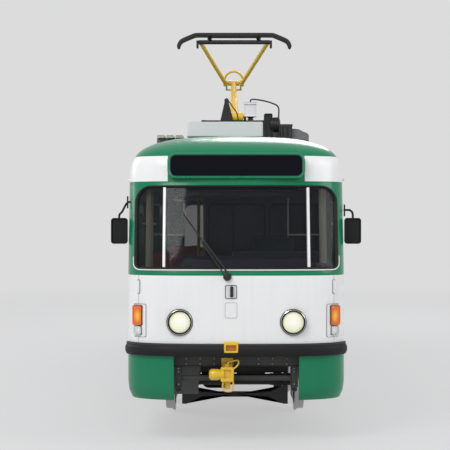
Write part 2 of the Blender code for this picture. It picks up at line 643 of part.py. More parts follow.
def make_bumpers():
    """Bumpers that follow the plan of the body's ends."""
    width, length, depth = hull_row(BUMPER_HIGH)
    inner = [p for p in end_curve(width + SEAT, length + SEAT, depth + SEAT) if p[1] >= BUMPER_END]
    reach = BUMPER_DEPTH
    outer = [p for p in end_curve(width + 0.012, length + reach, depth + reach) if p[1] >= BUMPER_END]
    outline = outer + inner[::-1]
    strip = 0.022
    lower = prism(outline, "Z", BUMPER_LOW, BUMPER_HIGH - strip)
    raised = [p for p in end_curve(width + 0.004, length + reach - 0.014, depth + reach - 0.014) if p[1] >= BUMPER_END]
    upper = prism(raised + inner[::-1], "Z", BUMPER_HIGH - strip - 0.004, BUMPER_HIGH)
    node("bumper_rear", "black_rubber", [lower, upper])
    (near, far), back = POCKET_X, POCKET_FRONT - POCKET_DEPTH
    slot = box((near - SEAT, -FAR, POCKET_LOW - SEAT), (far + SEAT, -back + SEAT, POCKET_HIGH))
    node("bumper_front", "black_rubber", [turned_round(lower), turned_round(upper)], cuts=[slot])

    pocket = box((near, -POCKET_FRONT, POCKET_LOW), (far, -back, POCKET_HIGH))
    rim = POCKET_RIM
    mouth = box((near + rim, -FAR, POCKET_LOW + rim), (far - rim, -back - rim / 2, POCKET_HIGH - 2 * rim))
    node("coupling_pocket", "yellow_paint", [pocket], cuts=[mouth])


def sign_outline(shrink):
    """The destination box seen from the front, drawn in by this much."""
    radius = SIGN_RADIUS - max(shrink, 0.0)
    return rounded(SIGN_HALF_WIDTH - shrink, SIGN_LOW + shrink, SIGN_HIGH - shrink, (radius, radius))


def make_sign():
    """The destination box in the roof's front, with a recessed blank pane."""
    body = prism(sign_outline(0.0), "Y", -SIGN_FRONT, -SIGN_BACK - SEAT)
    recess = prism(sign_outline(SIGN_RIM), "Y", -FAR, -SIGN_FRONT + SIGN_RECESS)
    node("destination_box", "green_paint", [body], cuts=[recess])


def make_wiper():
    """The front wiper at rest: a cap on the spindle, two arms to the knuckle, and a bent blade."""
    def along(start, end, lifts):
        """Points evenly spaced from one place on the front to another, each with its lift."""
        shares = [i / (len(lifts) - 1) for i in range(len(lifts))]
        return [off_front([a + (b - a) * t for a, b in zip(start, end)], lift) for t, lift in zip(shares, lifts)]

    cap = rod(off_front(WIPER_SPINDLE, 3 * SEAT), off_front(WIPER_SPINDLE, 0.040), WIPER_CAP_RADIUS, 8)
    arms = [tube(along(WIPER_SPINDLE, WIPER_KNUCKLE, (0.028, 0.048, 0.044)), WIPER_ARM_RADIUS)]
    beside = [(x - 0.020, z - 0.004) for x, z in (WIPER_SPINDLE, WIPER_KNUCKLE)]
    arms.append(tube(along(*beside, (0.028, 0.048, 0.044)), WIPER_ARM_RADIUS * 0.8))
    knuckle = rod(off_front(WIPER_KNUCKLE, 0.016), off_front(WIPER_KNUCKLE, 0.052), 0.017, 6)
    blade = tube(along(WIPER_HEEL, WIPER_TIP, (0.014, 0.018, 0.020, 0.018, 0.014)), WIPER_BLADE_RADIUS)
    node("wiper", "black_rubber", [cap, *arms, knuckle, blade])


def make_headlights():
    """Round headlights: a bowl turned about its axis, with a stepped bezel and a domed lens."""
    front = end_at(LAMP_X, LAMP_Z) + LAMP_FRONT
    back = front - LAMP_FRONT - LAMP_DEPTH
    profile = (
        (0.000, front - 0.004), (LAMP_LENS_RADIUS * 0.6, front - 0.010), (LAMP_LENS_RADIUS, front - 0.024),
        (LAMP_LENS_RADIUS + 0.004, front - 0.004), (LAMP_RADIUS - 0.012, front), (LAMP_RADIUS, front - 0.014),
        (LAMP_RADIUS, back), (0.000, back),
    )
    for name, x in (("headlight_left", LAMP_X), ("headlight_right", -LAMP_X)):
        lamp = bpy.data.meshes.new(name)
        lamp.from_pydata([(r, 0, along) for r, along in profile], [(i, i + 1) for i in range(len(profile) - 1)], [])
        made = bpy.data.objects.new(name, lamp)
        made.location = (x, 0, LAMP_Z)
        made.rotation_euler = (math.radians(90), 0, 0)
        TRAM.objects.link(made)
        lamp.materials.append(finish("lamp_lens"))
        turn = made.modifiers.new("turn", "SCREW")
        turn.steps = turn.render_steps = LAMP_SIDES
        turn.use_merge_vertices = True
        turn.merge_threshold = 0.0001


def make_floor():
    """Floor plate that fits the shell, with a step well and its stairs at each doorway."""
    inset = WALL + SEAT
    width, length, depth = hull_row(FLOOR_TOP - FLOOR_THICK)
    half = end_curve(width - inset, length - inset, depth - inset)
    plate = prism(half + [(-x, -y) for x, y in half], "Z", FLOOR_TOP - FLOOR_THICK, FLOOR_TOP)
    (out_1, in_1, top_1), (_, in_2, top_2) = STEP_TREADS
    thin = STEP_PLATE
    outline = (
        (out_1, top_1 - thin), (in_1 + thin, top_1 - thin), (in_1 + thin, top_2 - thin),
        (in_2 + thin, top_2 - thin), (in_2 + thin, FLOOR_TOP - 0.01), (in_2, FLOOR_TOP - 0.01),
        (in_2, top_2), (in_1, top_2), (in_1, top_1), (out_1, top_1),
    )
    wells, stairs = [], []
    for y in (bay * BAY for bay in DOOR_BAYS):
        reach = DOORWAY_WIDTH / 2
        wells.append(box((-HALF_WIDTH - CUT_REACH, y - reach, 0.5), (in_2, y + reach, FLOOR_TOP + CUT_REACH)))
        stairs.append(prism(outline, "Y", y - reach - WELL_SIDE / 2, y + reach + WELL_SIDE / 2))
        stairs.append(box((STEP_NOSE_X, y - reach + SEAT, top_1 - thin), (out_1 + 0.02, y + reach - SEAT, top_1)))
        for end in (-1, 1):
            near, far = sorted((y + end * reach, y + end * (reach + WELL_SIDE)))
            stairs.append(box((out_1, near, top_1 - thin), (in_2 + thin, far, FLOOR_TOP - 0.01)))
            near, far = sorted((y + end * (reach - CHEEK_THICK), y + end * (reach - SEAT)))
            stairs.append(box((STEP_NOSE_X, near, top_1 - thin), (out_1 + 0.02, far, CHEEK_TOP)))
    made = node("floor", "grey_plastic", [plate])
    combine(made, "DIFFERENCE", wells, "wells")
    combine(made, "UNION", stairs, "stairs")


def make_underframe():
    """Sills, cross beams, bogie pivots, end beams with posts, and the equipment boxes hung below."""
    top = FLOOR_TOP - FLOOR_THICK - SEAT
    solids = both_sides(box((SILL_X - SILL_WIDTH / 2, -END_BEAM_Y, SILL_LOW), (SILL_X + SILL_WIDTH / 2, END_BEAM_Y, top)))
    reach = SILL_X + SILL_WIDTH
    for y in CROSS_BEAMS:
        far = BRACKET_OUT if abs(y) < BOGIE_Y - WHEELBASE / 2 else reach
        solids.append(box((-reach, y - 0.05, SILL_LOW + 0.01), (far, y + 0.05, top - 0.01)))
    for end in (-1, 1):
        y = end * BOGIE_Y
        solids.append(box((-0.420, y - 0.180, SILL_LOW + 0.005), (0.420, y + 0.180, top - 0.005)))
        solids.append(rod((0, y, BOLSTER_TOP + SEAT), (0, y, top - 0.02), PIVOT_RADIUS, 8))
        near, far = sorted((end * (END_BEAM_Y - END_BEAM_DEPTH / 2), end * (END_BEAM_Y + END_BEAM_DEPTH / 2)))
        solids.append(box((-END_BEAM_HALF, near, SILL_LOW + 0.002), (END_BEAM_HALF, far, top - 0.002)))
        post_in, post_out = POST_X - POST_WIDTH / 2, POST_X + POST_WIDTH / 2
        solids += both_sides(box((post_in, near + 0.01, POST_LOW), (post_out, far - 0.01, top - 0.03)))
        solids.append(box((-POST_X, near + 0.02, LOW_BEAM[0]), (POST_X, far - 0.02, LOW_BEAM[1])))
    solids += [box(low, high) for low, high in EQUIPMENT]
    node("underframe", "dark_steel", solids)


def make_bogies():
    """Inside-frame bogies with bearings, motors, rail brakes and a lifeguard, and their wheel sets."""
    for end, place in ((-1, "front"), (1, "rear")):
        y = end * BOGIE_Y
        solids = [box((-BEAM_X, y - 0.150, BEAM_LOW + 0.005), (BEAM_X, y + 0.150, BOLSTER_TOP - 0.03))]
        solids.append(rod((0, y, BEAM_LOW + 0.02), (0, y, BOLSTER_TOP), PIVOT_RADIUS + 0.04, 8))
        reach = WHEELBASE / 2 + 0.200
        solids += both_sides(box((BEAM_X - BEAM_WIDTH / 2, y - reach, BEAM_LOW), (BEAM_X + BEAM_WIDTH / 2, y + reach, BEAM_HIGH)))
        bores = []
        for step in (-1, 1):
            axle_y = y + step * WHEELBASE / 2
            solids += both_sides(box((BEAM_X - BEAM_WIDTH / 2 + 0.005, axle_y - BEARING_HALF, FLANGE_RADIUS - 0.11),
                                     (BEAM_X + BEAM_WIDTH / 2 - 0.005, axle_y + BEARING_HALF, BEAM_LOW + 0.03)))
            bores.append(rod((-0.6, axle_y, FLANGE_RADIUS), (0.6, axle_y, FLANGE_RADIUS), AXLE_RADIUS + JOURNAL_RUNNING, BEARING_SIDES))
            motor_y = y + step * MOTOR_Y
            motor = centred_box((step * MOTOR_X, motor_y, MOTOR_Z), MOTOR_SIZE)
            solids.append(motor)
            solids.append(box((-BEAM_X, motor_y - 0.050, BEAM_LOW + 0.020), (BEAM_X, motor_y + 0.050, BEAM_HIGH - 0.020)))
        for side in (-1, 1):
            x = side * BRAKE_X
            solids.append(box((x - BRAKE_WIDTH / 2, y - BRAKE_HALF, BRAKE_LOW), (x + BRAKE_WIDTH / 2, y + BRAKE_HALF, BRAKE_HIGH)))
            for step in (-1, 1):
                hanger_y = y + step * BRAKE_HALF * 0.7
                near, far = sorted((side * BEAM_X, side * (BRAKE_X + 0.02)))
                solids.append(box((near, hanger_y - 0.025, 0.480), (far, hanger_y + 0.025, 0.530)))
                solids.append(box((x - 0.016, hanger_y - 0.016, BRAKE_HIGH - 0.03), (x + 0.016, hanger_y + 0.016, 0.500)))
        guard_y = y + end * GUARD_Y
        arms = sorted((y + end * (reach - 0.05), guard_y))
        solids += both_sides(box((BEAM_X - 0.030, arms[0], BEAM_LOW + 0.030), (BEAM_X + 0.030, arms[1], BEAM_LOW + 0.080)))
        solids.append(box((-GUARD_HALF, guard_y - 0.025, BEAM_LOW + 0.025), (GUARD_HALF, guard_y + 0.025, BEAM_LOW + 0.085)))
        board = [(-GUARD_HALF, 0.130), (-GUARD_HALF + 0.05, 0.130), (-0.370, GUARD_Z - 0.03), (0.370, GUARD_Z - 0.03),
                 (GUARD_HALF - 0.05, 0.130), (GUARD_HALF, 0.130), (GUARD_HALF, 0.340), (GUARD_HALF - 0.06, 0.340),
                 (0.400, GUARD_Z + 0.03), (-0.400, GUARD_Z + 0.03), (-GUARD_HALF + 0.06, 0.340), (-GUARD_HALF, 0.340)]
        solids.append(prism(board, "Y", guard_y - 0.015, guard_y + 0.015))
        solids += both_sides(box((GUARD_HALF - 0.050, guard_y - 0.012, 0.320), (GUARD_HALF - 0.010, guard_y + 0.012, BEAM_LOW + 0.040)))
        made = node(f"bogie_{place}", "dark_steel", solids)
        combine(made, "DIFFERENCE", bores, "bores")
        for step, which in ((-1, "a"), (1, "b")):
            wheel_set(f"wheels_{place}_{which}", y + step * WHEELBASE / 2)


def wheel_set(name, y):
    """A rail axle and its two wheels, turned as one profile about the axle."""
    inner, web, hub = WHEEL_INNER_X, DISC_X, HUB_RADIUS
    outer = inner + TYRE_WIDTH
    rim = TREAD_RADIUS - 0.055
    half = (
        (0.000, AXLE_END), (AXLE_RADIUS, AXLE_END), (hub, outer - 0.010), (hub, web + DISC_THICK),
        (rim, web + DISC_THICK), (rim, outer), (TREAD_RADIUS, outer), (TREAD_RADIUS, inner + FLANGE_WIDTH),
        (FLANGE_RADIUS, inner), (rim, inner), (AXLE_RADIUS, inner + 0.020),
    )
    profile = list(half) + [(r, -x) for r, x in reversed(half)]
    mesh = bpy.data.meshes.new(name)
    mesh.from_pydata([(r, 0, along) for r, along in profile], [(i, i + 1) for i in range(len(profile) - 1)], [])
    mesh.materials.append(finish("wheel_steel"))
    made = bpy.data.objects.new(name, mesh)
    made.location = (0, y, FLANGE_RADIUS)
    made.rotation_euler = (0, math.radians(90), 0)
    TRAM.objects.link(made)
    turn = made.modifiers.new("turn", "SCREW")
    turn.steps = turn.render_steps = WHEEL_STEPS
    turn.use_merge_vertices = True
    turn.merge_threshold = 0.0001


def make_doors():
    """Four folding leaves in each doorway, hung in pairs on their jambs."""
    low, high = STEP_TREADS[0][2] + LEAF_CLEAR, DOORWAY_TOP - LEAF_CLEAR
    plane = -DOOR_PLANE
    fold_x = plane - LEAF_THICK / 2 - FOLD_PROUD
    for bay, place in zip(DOOR_BAYS, ("front", "middle", "rear")):
        for end, hand in ((-1, "a"), (1, "b")):
            jamb = bay * BAY + end * DOORWAY_WIDTH / 2
            inward = -end
            pivot = jamb + inward * (JAMB_CLEAR + LEAF_END)
            fold = pivot + inward * LEAF_SPAN
            guide_y = fold + inward * LEAF_SPAN
            spans = ((pivot - inward * LEAF_END, fold - inward * FOLD_CLEAR), (fold + inward * FOLD_CLEAR, guide_y + inward * LEAF_END))
            for number, (near, far) in enumerate(spans):
                first, last = min(near, far), max(near, far)
                frame = LEAF_WINDOW[2]
                solids = [box((plane - LEAF_THICK / 2, first, low), (plane + LEAF_THICK / 2, last, high))]
                if number == 0:
                    solids.append(rod((plane, pivot, low - LEAF_CLEAR + SEAT), (plane, pivot, low + 0.01), JAMB_PIN_RADIUS, 6))
                    solids.append(rod((plane, pivot, high - 0.01), (plane, pivot, high + LEAF_CLEAR - SEAT), JAMB_PIN_RADIUS, 6))
                for height in STRAP_HEIGHTS:
                    start = height + number * (STRAP_HEIGHT + SEAT)
                    towards = -inward if number == 0 else inward
                    strap = sorted((fold - towards * STRAP_PAST, fold + towards * STRAP_LENGTH))
                    corner = (plane - LEAF_THICK / 2 + 0.002, strap[1], start + STRAP_HEIGHT)
                    solids.append(box((fold_x - 0.001, strap[0], start), corner))
                half, middle = (last - first) / 2 - frame, (first + last) / 2
                outline = rounded(half, LEAF_WINDOW[0], LEAF_WINDOW[1], (0.03, 0.03), 1, middle)
                hole = prism(outline, "X", plane - 0.1, plane + 0.1)
                node(f"door_{place}_{hand}{number + 1}", "green_paint", solids, cuts=[hole])


def make_couplers():
    """Folded couplers below the bumpers, each on a plate that is bolted to the end beam."""
    face = -(END_BEAM_Y + END_BEAM_DEPTH / 2) - SEAT
    x = -0.090
    solids = [
        box((x - 0.060, face - 0.030, 0.760), (x + 0.060, face, 0.840)),
        box((x - 0.045, face - 0.110, 0.600), (x + 0.045, face - 0.020, 0.790)),
        rod((x, face - 0.065, 0.535), (x, face - 0.065, 0.620), 0.028, 8),
        softened(box((x - 0.180, face - 0.125, 0.625), (x - 0.040, face - 0.020, 0.740)), 0.018, 1),
        softened(box((x - 0.062, face - 0.140, 0.620), (x + 0.062, face - 0.095, 0.752)), 0.012, 1),
    ]
    for bow in COUPLER_BOWS:
        solids.append(tube([(bow_x, face - 0.1165, bow_z) for bow_x, bow_z in bow], 0.0085))
    node("coupler_front", "yellow_paint", solids)
    node("coupler_rear", "yellow_paint", [turned_round(solid) for solid in solids])


def make_mirrors():
    """Mirrors on bent arms fixed to the front end's corners."""
    x, y, z = MIRROR_CENTRE
    half_plate = 0.065
    foot = side_at(y + 0.02, MIRROR_FOOT_Z - half_plate)
    head = softened(centred_box(MIRROR_CENTRE, MIRROR_SIZE), 0.018, 1)
    plate = box((foot + SEAT, y - 0.020, MIRROR_FOOT_Z - half_plate), (foot + 0.018, y + 0.020, MIRROR_FOOT_Z + half_plate))
    top = z + MIRROR_SIZE[2] / 2
    start = (foot + 0.008, y, MIRROR_FOOT_Z)
    bends = ((foot + 0.050, y, MIRROR_FOOT_Z - 0.015), (x - 0.030, y, top + 0.100), (x, y, top + 0.060))
    arm = tube([start, *bends, (x, y, top - 0.030)], ARM_TUBE)
    left = [head, plate, arm]
    node("mirror_left", "black_rubber", left)
    node("mirror_right", "black_rubber", [mirrored(solid, "X") for solid in left])


def make_roof_equipment():
    """Air conditioner, container with fins, and the walkway."""
    low, high = (AC_X - AC_HALF_WIDTH, AC_FRONT, AC_LOW), (AC_X + AC_HALF_WIDTH, AC_FRONT + AC_LENGTH, AC_HIGH)
    solids = [softened(box(low, high), 0.035, 2)]
    for x in (low[0] + 0.070, high[0] - 0.070):
        for y in (low[1] + 0.120, high[1] - 0.120):
            half = AC_FOOT / 2
            foot = roof_at(max(0.0, abs(x) - half)) + SEAT
            solids.append(box((x - half, y - half, foot), (x + half, y + half, AC_LOW + 0.02)))
    node("air_conditioner", "light_grey", solids)

    near, far = CRATE_X
    front, back = CRATE_FRONT, CRATE_FRONT + CRATE_LENGTH
    base = roof_at(near + 0.020) + SEAT
    solids = [softened(box((near, front, base + 0.040), (far, back, CRATE_TOP)), 0.020, 1)]
    for y in (front + 0.150, back - 0.150):
        solids.append(box((near + 0.020, y - 0.040, base), (far - 0.050, y + 0.040, base + 0.060)))
    pitch = (CRATE_LENGTH - 0.200) / (FIN_COUNT - 1)
    spine_z = (base + CRATE_TOP) / 2
    for i in range(FIN_COUNT):
        y = front + 0.100 + i * pitch
        solids.append(box((far - 0.020, y - FIN_THICK / 2, base + 0.050), (FIN_X, y + FIN_THICK / 2, CRATE_TOP - 0.050)))
    solids.append(box((far - 0.010, front + 0.090, spine_z - 0.040), (FIN_X - 0.060, back - 0.090, spine_z + 0.040)))
    node("roof_container", "crate_grey", solids)

    near, far = BOARD_X
    solids = []
    for i in range(BOARD_COUNT):
        x, half = -far + (i + 0.5) * (far - near) / BOARD_COUNT, BOARD_WIDTH / 2
        solids.append(box((x - half, BOARD_Y[0], BOARD_Z - BOARD_THICK), (x + half, BOARD_Y[1], BOARD_Z)))
    under = BOARD_Z - BOARD_THICK + 0.005
    for i in range(BEARER_COUNT):
        y = BOARD_Y[0] + 0.200 + i * (BOARD_Y[1] - BOARD_Y[0] - 0.400) / (BEARER_COUNT - 1)
        bearer = [(-near, under), (-far, under), *((-x, z + SEAT) for x, z in roof_line(far, near))]
        solids.append(prism(bearer, "Y", y - BEARER_WIDTH / 2, y + BEARER_WIDTH / 2))
    node("roof_walkway", "board_wood", solids)


def make_electrics():
    """A mounting plate across the roof with the arrester on its post, a fuse box, the choke coil and a bracket."""
    y, foot = ELECTRICS_Y, CROWN + 0.020
    arrester_x, coil_z = 0.190, 3.350
    solids = [
        box((-0.250, y - ELECTRICS_HALF, CROWN + SEAT), (0.600, y + ELECTRICS_HALF, CROWN + 0.030)),
        rod((arrester_x, y, foot), (arrester_x, y, 3.460), 0.035, 8),
        softened(centred_box((arrester_x, y, 3.530), (0.150, 0.150, 0.170)), 0.015, 1),
        softened(box((0.350, y - 0.070, foot), (0.450, y + 0.070, 3.480)), 0.015, 1),
        rod((0.430, y, coil_z), (0.540, y, coil_z), 0.100, 12),
        prism(((-0.230, foot), (0.060, foot), (-0.080, 3.660), (-0.110, 3.660)), "Y", y - 0.020, y + 0.020),
    ]
    node("roof_electrics", "dark_steel", solids)


def on_arm(start, length, angle):
    """The far end of an arm that leaves a (y, z) point at this angle from +Y."""
    turn = math.radians(angle)
    return start[0] + length * math.cos(turn), start[1] + length * math.sin(turn)


KNEE = on_arm(BASE_PIVOT, LOWER_LENGTH, LOWER_ANGLE)
HEAD_PIVOT = on_arm(KNEE, UPPER_LENGTH, 180 - UPPER_ANGLE)


def knee_brace():
    """The arched tube that ties the upper arm's two sides together over the knee, clear of the lower arm."""
    turn = math.radians(180 - UPPER_ANGLE)
    along, rise = Vector((0, math.cos(turn), math.sin(turn))), Vector((0, math.sin(turn), -math.cos(turn)))
    knee = Vector((0, *KNEE))
    points = []
    for i in range(9):
        sweep = math.pi * i / 8
        reach = BRACE_FOOT + (BRACE_CREST - BRACE_FOOT) * math.sin(sweep)
        half = UPPER_FOOT_X + (UPPER_HEAD_X - UPPER_FOOT_X) * BRACE_FOOT / UPPER_LENGTH
        points.append(knee + Vector((half * math.cos(sweep), 0, 0)) + along * reach + rise * BRACE_RISE * math.sin(sweep))
    return tube(points, BRACE_RADIUS)


def make_pantograph():
    """A half pantograph: base on insulators, lower arm, control rod, forked upper arm, and collector head."""
    half, front, back, low, high = BASE_FRAME
    bar = high - low
    solids = both_sides(box((half - bar, front, low), (half, back, high)))
    for y, drop in ((front, 0.002), (BASE_PIVOT[0] - bar / 2, 0.002), (back - bar, ROD_RADIUS + 0.002)):
        solids.append(box((-half + 0.01, y, low + 0.002), (half - 0.01, y + bar, high - drop)))
    for side in (-1, 1):
        for y in (front + 0.080, back - 0.080):
            x = side * (half - bar / 2)
            foot = roof_at(abs(x) - 0.032) + SEAT
            solids.append(rod((x, y, foot), (x, y, low + 0.010), 0.032, 6))
            middle = (foot + low) / 2
            solids.append(rod((x, y, middle - 0.040), (x, y, middle + 0.040), 0.055, 6))
    y, z = BASE_PIVOT
    for side in (-1, 1):
        x = side * 0.135
        solids.append(box((x - 0.015, y - 0.050, high - 0.010), (x + 0.015, y + 0.050, z + 0.045)))
    rod_y = ROD_PIVOT[0]
    solids.append(box((-half + 0.010, rod_y - 0.030, low - 0.018), (half - 0.010, rod_y + 0.030, low + 0.002)))
    solids += both_sides(box((0.0265, rod_y - 0.025, low - 0.010), (0.0450, rod_y + 0.025, high)))
    pin = rod((-0.160, y, z), (0.160, y, z), ARM_PIN_HOLE, 12)
    node("pantograph_base", "dark_steel", solids, cuts=[pin])

    axle = rod((-0.150, y, z), (0.150, y, z), ARM_PIN_RADIUS, 12)
    barrel = rod((-0.115, y, z), (0.115, y, z), ARM_RADIUS, 10)
    arm = rod((0, y, z), (0, *KNEE), ARM_RADIUS, 8, KNEE_RADIUS - 0.002)
    knee = rod((-KNEE_HALF, *KNEE), (KNEE_HALF, *KNEE), KNEE_RADIUS, 10)
    knee_pin = rod((-0.135, *KNEE), (0.135, *KNEE), ARM_PIN_RADIUS, 12)
    node("pantograph_lower_arm", "yellow_paint", [arm, barrel, axle, knee, knee_pin])

    eye = on_arm(ROD_PIVOT, ROD_LENGTH, ROD_ANGLE)
    link_end = on_arm(ROD_PIVOT, ROD_LENGTH - ROD_EYE_RADIUS + 0.006, ROD_ANGLE)
    link = rod((0, *ROD_PIVOT), (0, *link_end), ROD_RADIUS, 8)
    foot = rod((-0.026, *ROD_PIVOT), (0.026, *ROD_PIVOT), ROD_FOOT_RADIUS, 10)
    ring = rod((-ROD_EYE_HALF, *eye), (ROD_EYE_HALF, *eye), ROD_EYE_RADIUS, 12)
    ring_hole = rod((-0.1, *eye), (0.1, *eye), ROD_EYE_HOLE, 12)
    node("pantograph_rod", "grey_steel", [link, foot, ring], cuts=[ring_hole])

    head_y, head_z = HEAD_PIVOT
    foot_x, top_x = UPPER_FOOT_X, UPPER_HEAD_X
    side = rod((foot_x, *KNEE), (top_x, head_y, head_z), UPPER_RADIUS, 6)
    ear = rod((EAR_X[0], *KNEE), (EAR_X[1], *KNEE), 0.040, 10)
    tail = on_arm(KNEE, TAIL_LENGTH, TAIL_ANGLE)
    crank_x = EAR_X[0] + 0.013
    crank = rod((crank_x, *KNEE), (crank_x, *tail), 0.012, 6)
    stub = rod((ROD_EYE_HALF + RUNNING, *tail), (crank_x + 0.010, *tail), TAIL_PIN_RADIUS, 8)
    ear_hole = rod((-0.2, *KNEE), (0.2, *KNEE), ARM_PIN_HOLE, 12)
    cross = rod((-top_x - 0.020, head_y, head_z), (top_x + 0.020, head_y, head_z), UPPER_RADIUS, 8)
    pairs = [solid for one in (stub, side, ear, crank) for solid in both_sides(one)]
    node("pantograph_upper_arm", "yellow_paint", [cross, *pairs, knee_brace()], cuts=[ear_hole])

    solids = []
    level = head_z + BOW_RISE
    for step in (-1, 1):
        bow_y = head_y + step * BOW_SPACING / 2
        points = [(-BOW_HALF_WIDTH, -BOW_DROP), (-BOW_HALF_WIDTH + 0.020, -BOW_DROP + 0.055)]
        points += [(-BOW_HALF_FLAT - 0.090, -0.030), (-BOW_HALF_FLAT, 0.0)]
        points += [(-x, z) for x, z in reversed(points)]
        solids.append(tube([(x, bow_y, level + z) for x, z in points], BOW_RADIUS))
    tie, hanger = BOW_SPACING / 2, head_z + UPPER_RADIUS + SEAT
    for x in (-0.300, 0.300):
        solids.append(box((x - 0.020, head_y - tie, level - 0.012), (x + 0.020, head_y + tie, level + 0.012)))
        solids.append(box((x - 0.016, head_y - 0.018, hanger), (x + 0.016, head_y + 0.018, level)))
    node("pantograph_head", "dark_steel", solids)


def make_cab():
    """Cab partition with two windows, the driver's desk and the driver's seat."""
    low_x, high_x = PARTITION_X
    y, base = PARTITION_Y, FLOOR_TOP + SEAT
    panel_box = box((low_x, y, base), (high_x - SEAT, y + PARTITION_THICK, PARTITION_TOP))
    from_edge, half, sill, head = PARTITION_WINDOW
    places = (low_x + from_edge, high_x - from_edge)
    holes = [prism(rounded(half, sill, head, (0.04, 0.04), 2, x), "Y", y - 0.1, y + 0.1) for x in places]
    board = SILL_BOARD
    notch = box((HALF_WIDTH - WALL - board[0] - BOARD_CLEAR, y - 0.1, WINDOW_LOW - board[1] - BOARD_CLEAR),
                (HALF_WIDTH, y + 0.1, WINDOW_LOW + board[2] + BOARD_CLEAR))
    node("cab_partition", "light_grey", [panel_box], cuts=[*holes, notch])

    inset = WALL + DESK_CLEAR
    width, length, depth = hull_row(DESK_TOP)
    curve = end_curve(width - inset, length - inset, depth - inset)
    near_x, far_x = DESK_X
    stations = [near_x + (far_x - near_x) * i / (DESK_STEPS - 1) for i in range(DESK_STEPS)]
    outline = [(x, -reach_at(x, curve)) for x in stations] + [(far_x, DESK_BACK), (near_x, DESK_BACK)]
    top = prism(outline, "Z", DESK_TOP - DESK_DEPTH, DESK_TOP)
    leg_top = DESK_TOP - DESK_DEPTH + 0.020
    body = box((near_x + 0.05, DESK_BACK - 0.250, base), (far_x - 0.05, DESK_BACK - 0.050, leg_top))
    node("driver_desk", "grey_plastic", [top, body])

    x, y = DRIVER_SEAT
    solids = [
        rod((x, y, base), (x, y, base + 0.030), 0.200, 12),
        rod((x, y, base + 0.020), (x, y, base + 0.400), 0.060, 8),
        softened(centred_box((x, y - 0.020, base + 0.440), (0.480, 0.480, 0.120)), 0.030, 1),
        softened(centred_box((x, y + 0.210, base + 0.790), (0.460, 0.110, 0.720)), 0.030, 1),
    ]
    node("driver_seat", "seat_fabric", solids)


def seat_row(name, side, first, count):
    """Seats at even pitch, cantilevered from a rail on the side wall."""
    thick, low, high = SEAT_RAIL
    wall = HALF_WIDTH - WALL - SEAT
    last = first + (count - 1) * SEAT_PITCH
    solids = [box((wall - thick, first - 0.250, low), (wall, last + 0.250, high))]
    inner, outer = wall - thick - 0.030 - SEAT_WIDTH, wall - thick
    for i in range(count):
        y = first + i * SEAT_PITCH
        front, back, foot = y - SEAT_DEPTH / 2, y + SEAT_DEPTH / 2, SEAT_TOP - 0.060
        solids.append(box((inner, front, SEAT_TOP - 0.070), (outer + 0.010, back, SEAT_TOP)))
        outline = ((back - SEAT_SHELL, foot), (back + 0.010, foot), (back + 0.085, SEAT_BACK_TOP), (back + 0.040, SEAT_BACK_TOP))
        solids.append(prism(outline, "X", inner + 0.010, outer - 0.015))
    if side < 0:
        solids = [mirrored(solid, "X") for solid in solids]
    node(name, "seat_shell", solids)


def make_saloon():
    seat_row("seats_left", 1, -4.100, 13)
    seat_row("seats_right_front", -1, -3.950, 4)
    seat_row("seats_right_rear", -1, 1.500, 4)
    base = FLOOR_TOP + SEAT
    solids = both_sides(rod((RAIL_X, POST_PLACES[0] - 0.5, RAIL_Z), (RAIL_X, POST_PLACES[-1] + 0.5, RAIL_Z), POST_RADIUS, 6))
    for y in POST_PLACES:
        solids += both_sides(rod((RAIL_X, y, base), (RAIL_X, y, RAIL_Z + 0.120), POST_RADIUS + 0.002, 6))
        solids.append(rod((-RAIL_X, y, RAIL_Z + 0.060), (RAIL_X, y, RAIL_Z + 0.060), POST_RADIUS, 6))
    node("grab_rails", "rail_yellow", solids)


make_shell()
make_side_windows()
make_bumpers()
make_sign()
make_wiper()
make_headlights()
make_floor()
make_underframe()
make_bogies()
make_doors()
make_couplers()
make_mirrors()
make_roof_equipment()
make_electrics()
make_pantograph()
make_cab()
make_saloon()
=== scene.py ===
"""Looks of a single-ended four-axle city tram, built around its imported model.

Metres, +Z up, the front at -Y and the doors at -X. Every new piece is a surface worked out as
whole arrays: a grid of points over two parameters, or a profile carried along a path.
"""
from math import atan2, copysign, cos, hypot, pi, radians, sin

import bmesh
import bpy
import numpy as np
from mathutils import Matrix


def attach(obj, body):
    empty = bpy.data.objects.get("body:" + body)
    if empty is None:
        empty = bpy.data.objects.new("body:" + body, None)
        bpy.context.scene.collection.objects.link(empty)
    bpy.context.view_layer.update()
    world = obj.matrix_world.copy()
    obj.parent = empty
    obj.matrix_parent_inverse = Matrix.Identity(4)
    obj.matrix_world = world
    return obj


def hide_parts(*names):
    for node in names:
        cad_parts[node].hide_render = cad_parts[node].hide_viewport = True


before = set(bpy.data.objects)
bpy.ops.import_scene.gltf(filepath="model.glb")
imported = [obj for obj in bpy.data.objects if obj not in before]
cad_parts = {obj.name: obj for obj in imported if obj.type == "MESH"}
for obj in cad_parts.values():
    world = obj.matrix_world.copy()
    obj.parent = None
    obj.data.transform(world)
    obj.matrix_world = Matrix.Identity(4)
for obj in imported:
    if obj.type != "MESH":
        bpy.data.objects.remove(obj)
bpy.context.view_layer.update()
TAU = 2 * pi


# Sizes shared with the solid model

ACROSS, ALONG, AHEAD, UP = (1, 0, 0), (0, 1, 0), (0, -1, 0), (0, 0, 1)
HALF_WIDTH, HALF_LENGTH, CORNER_POWER = 1.1, 6.96, 3.0
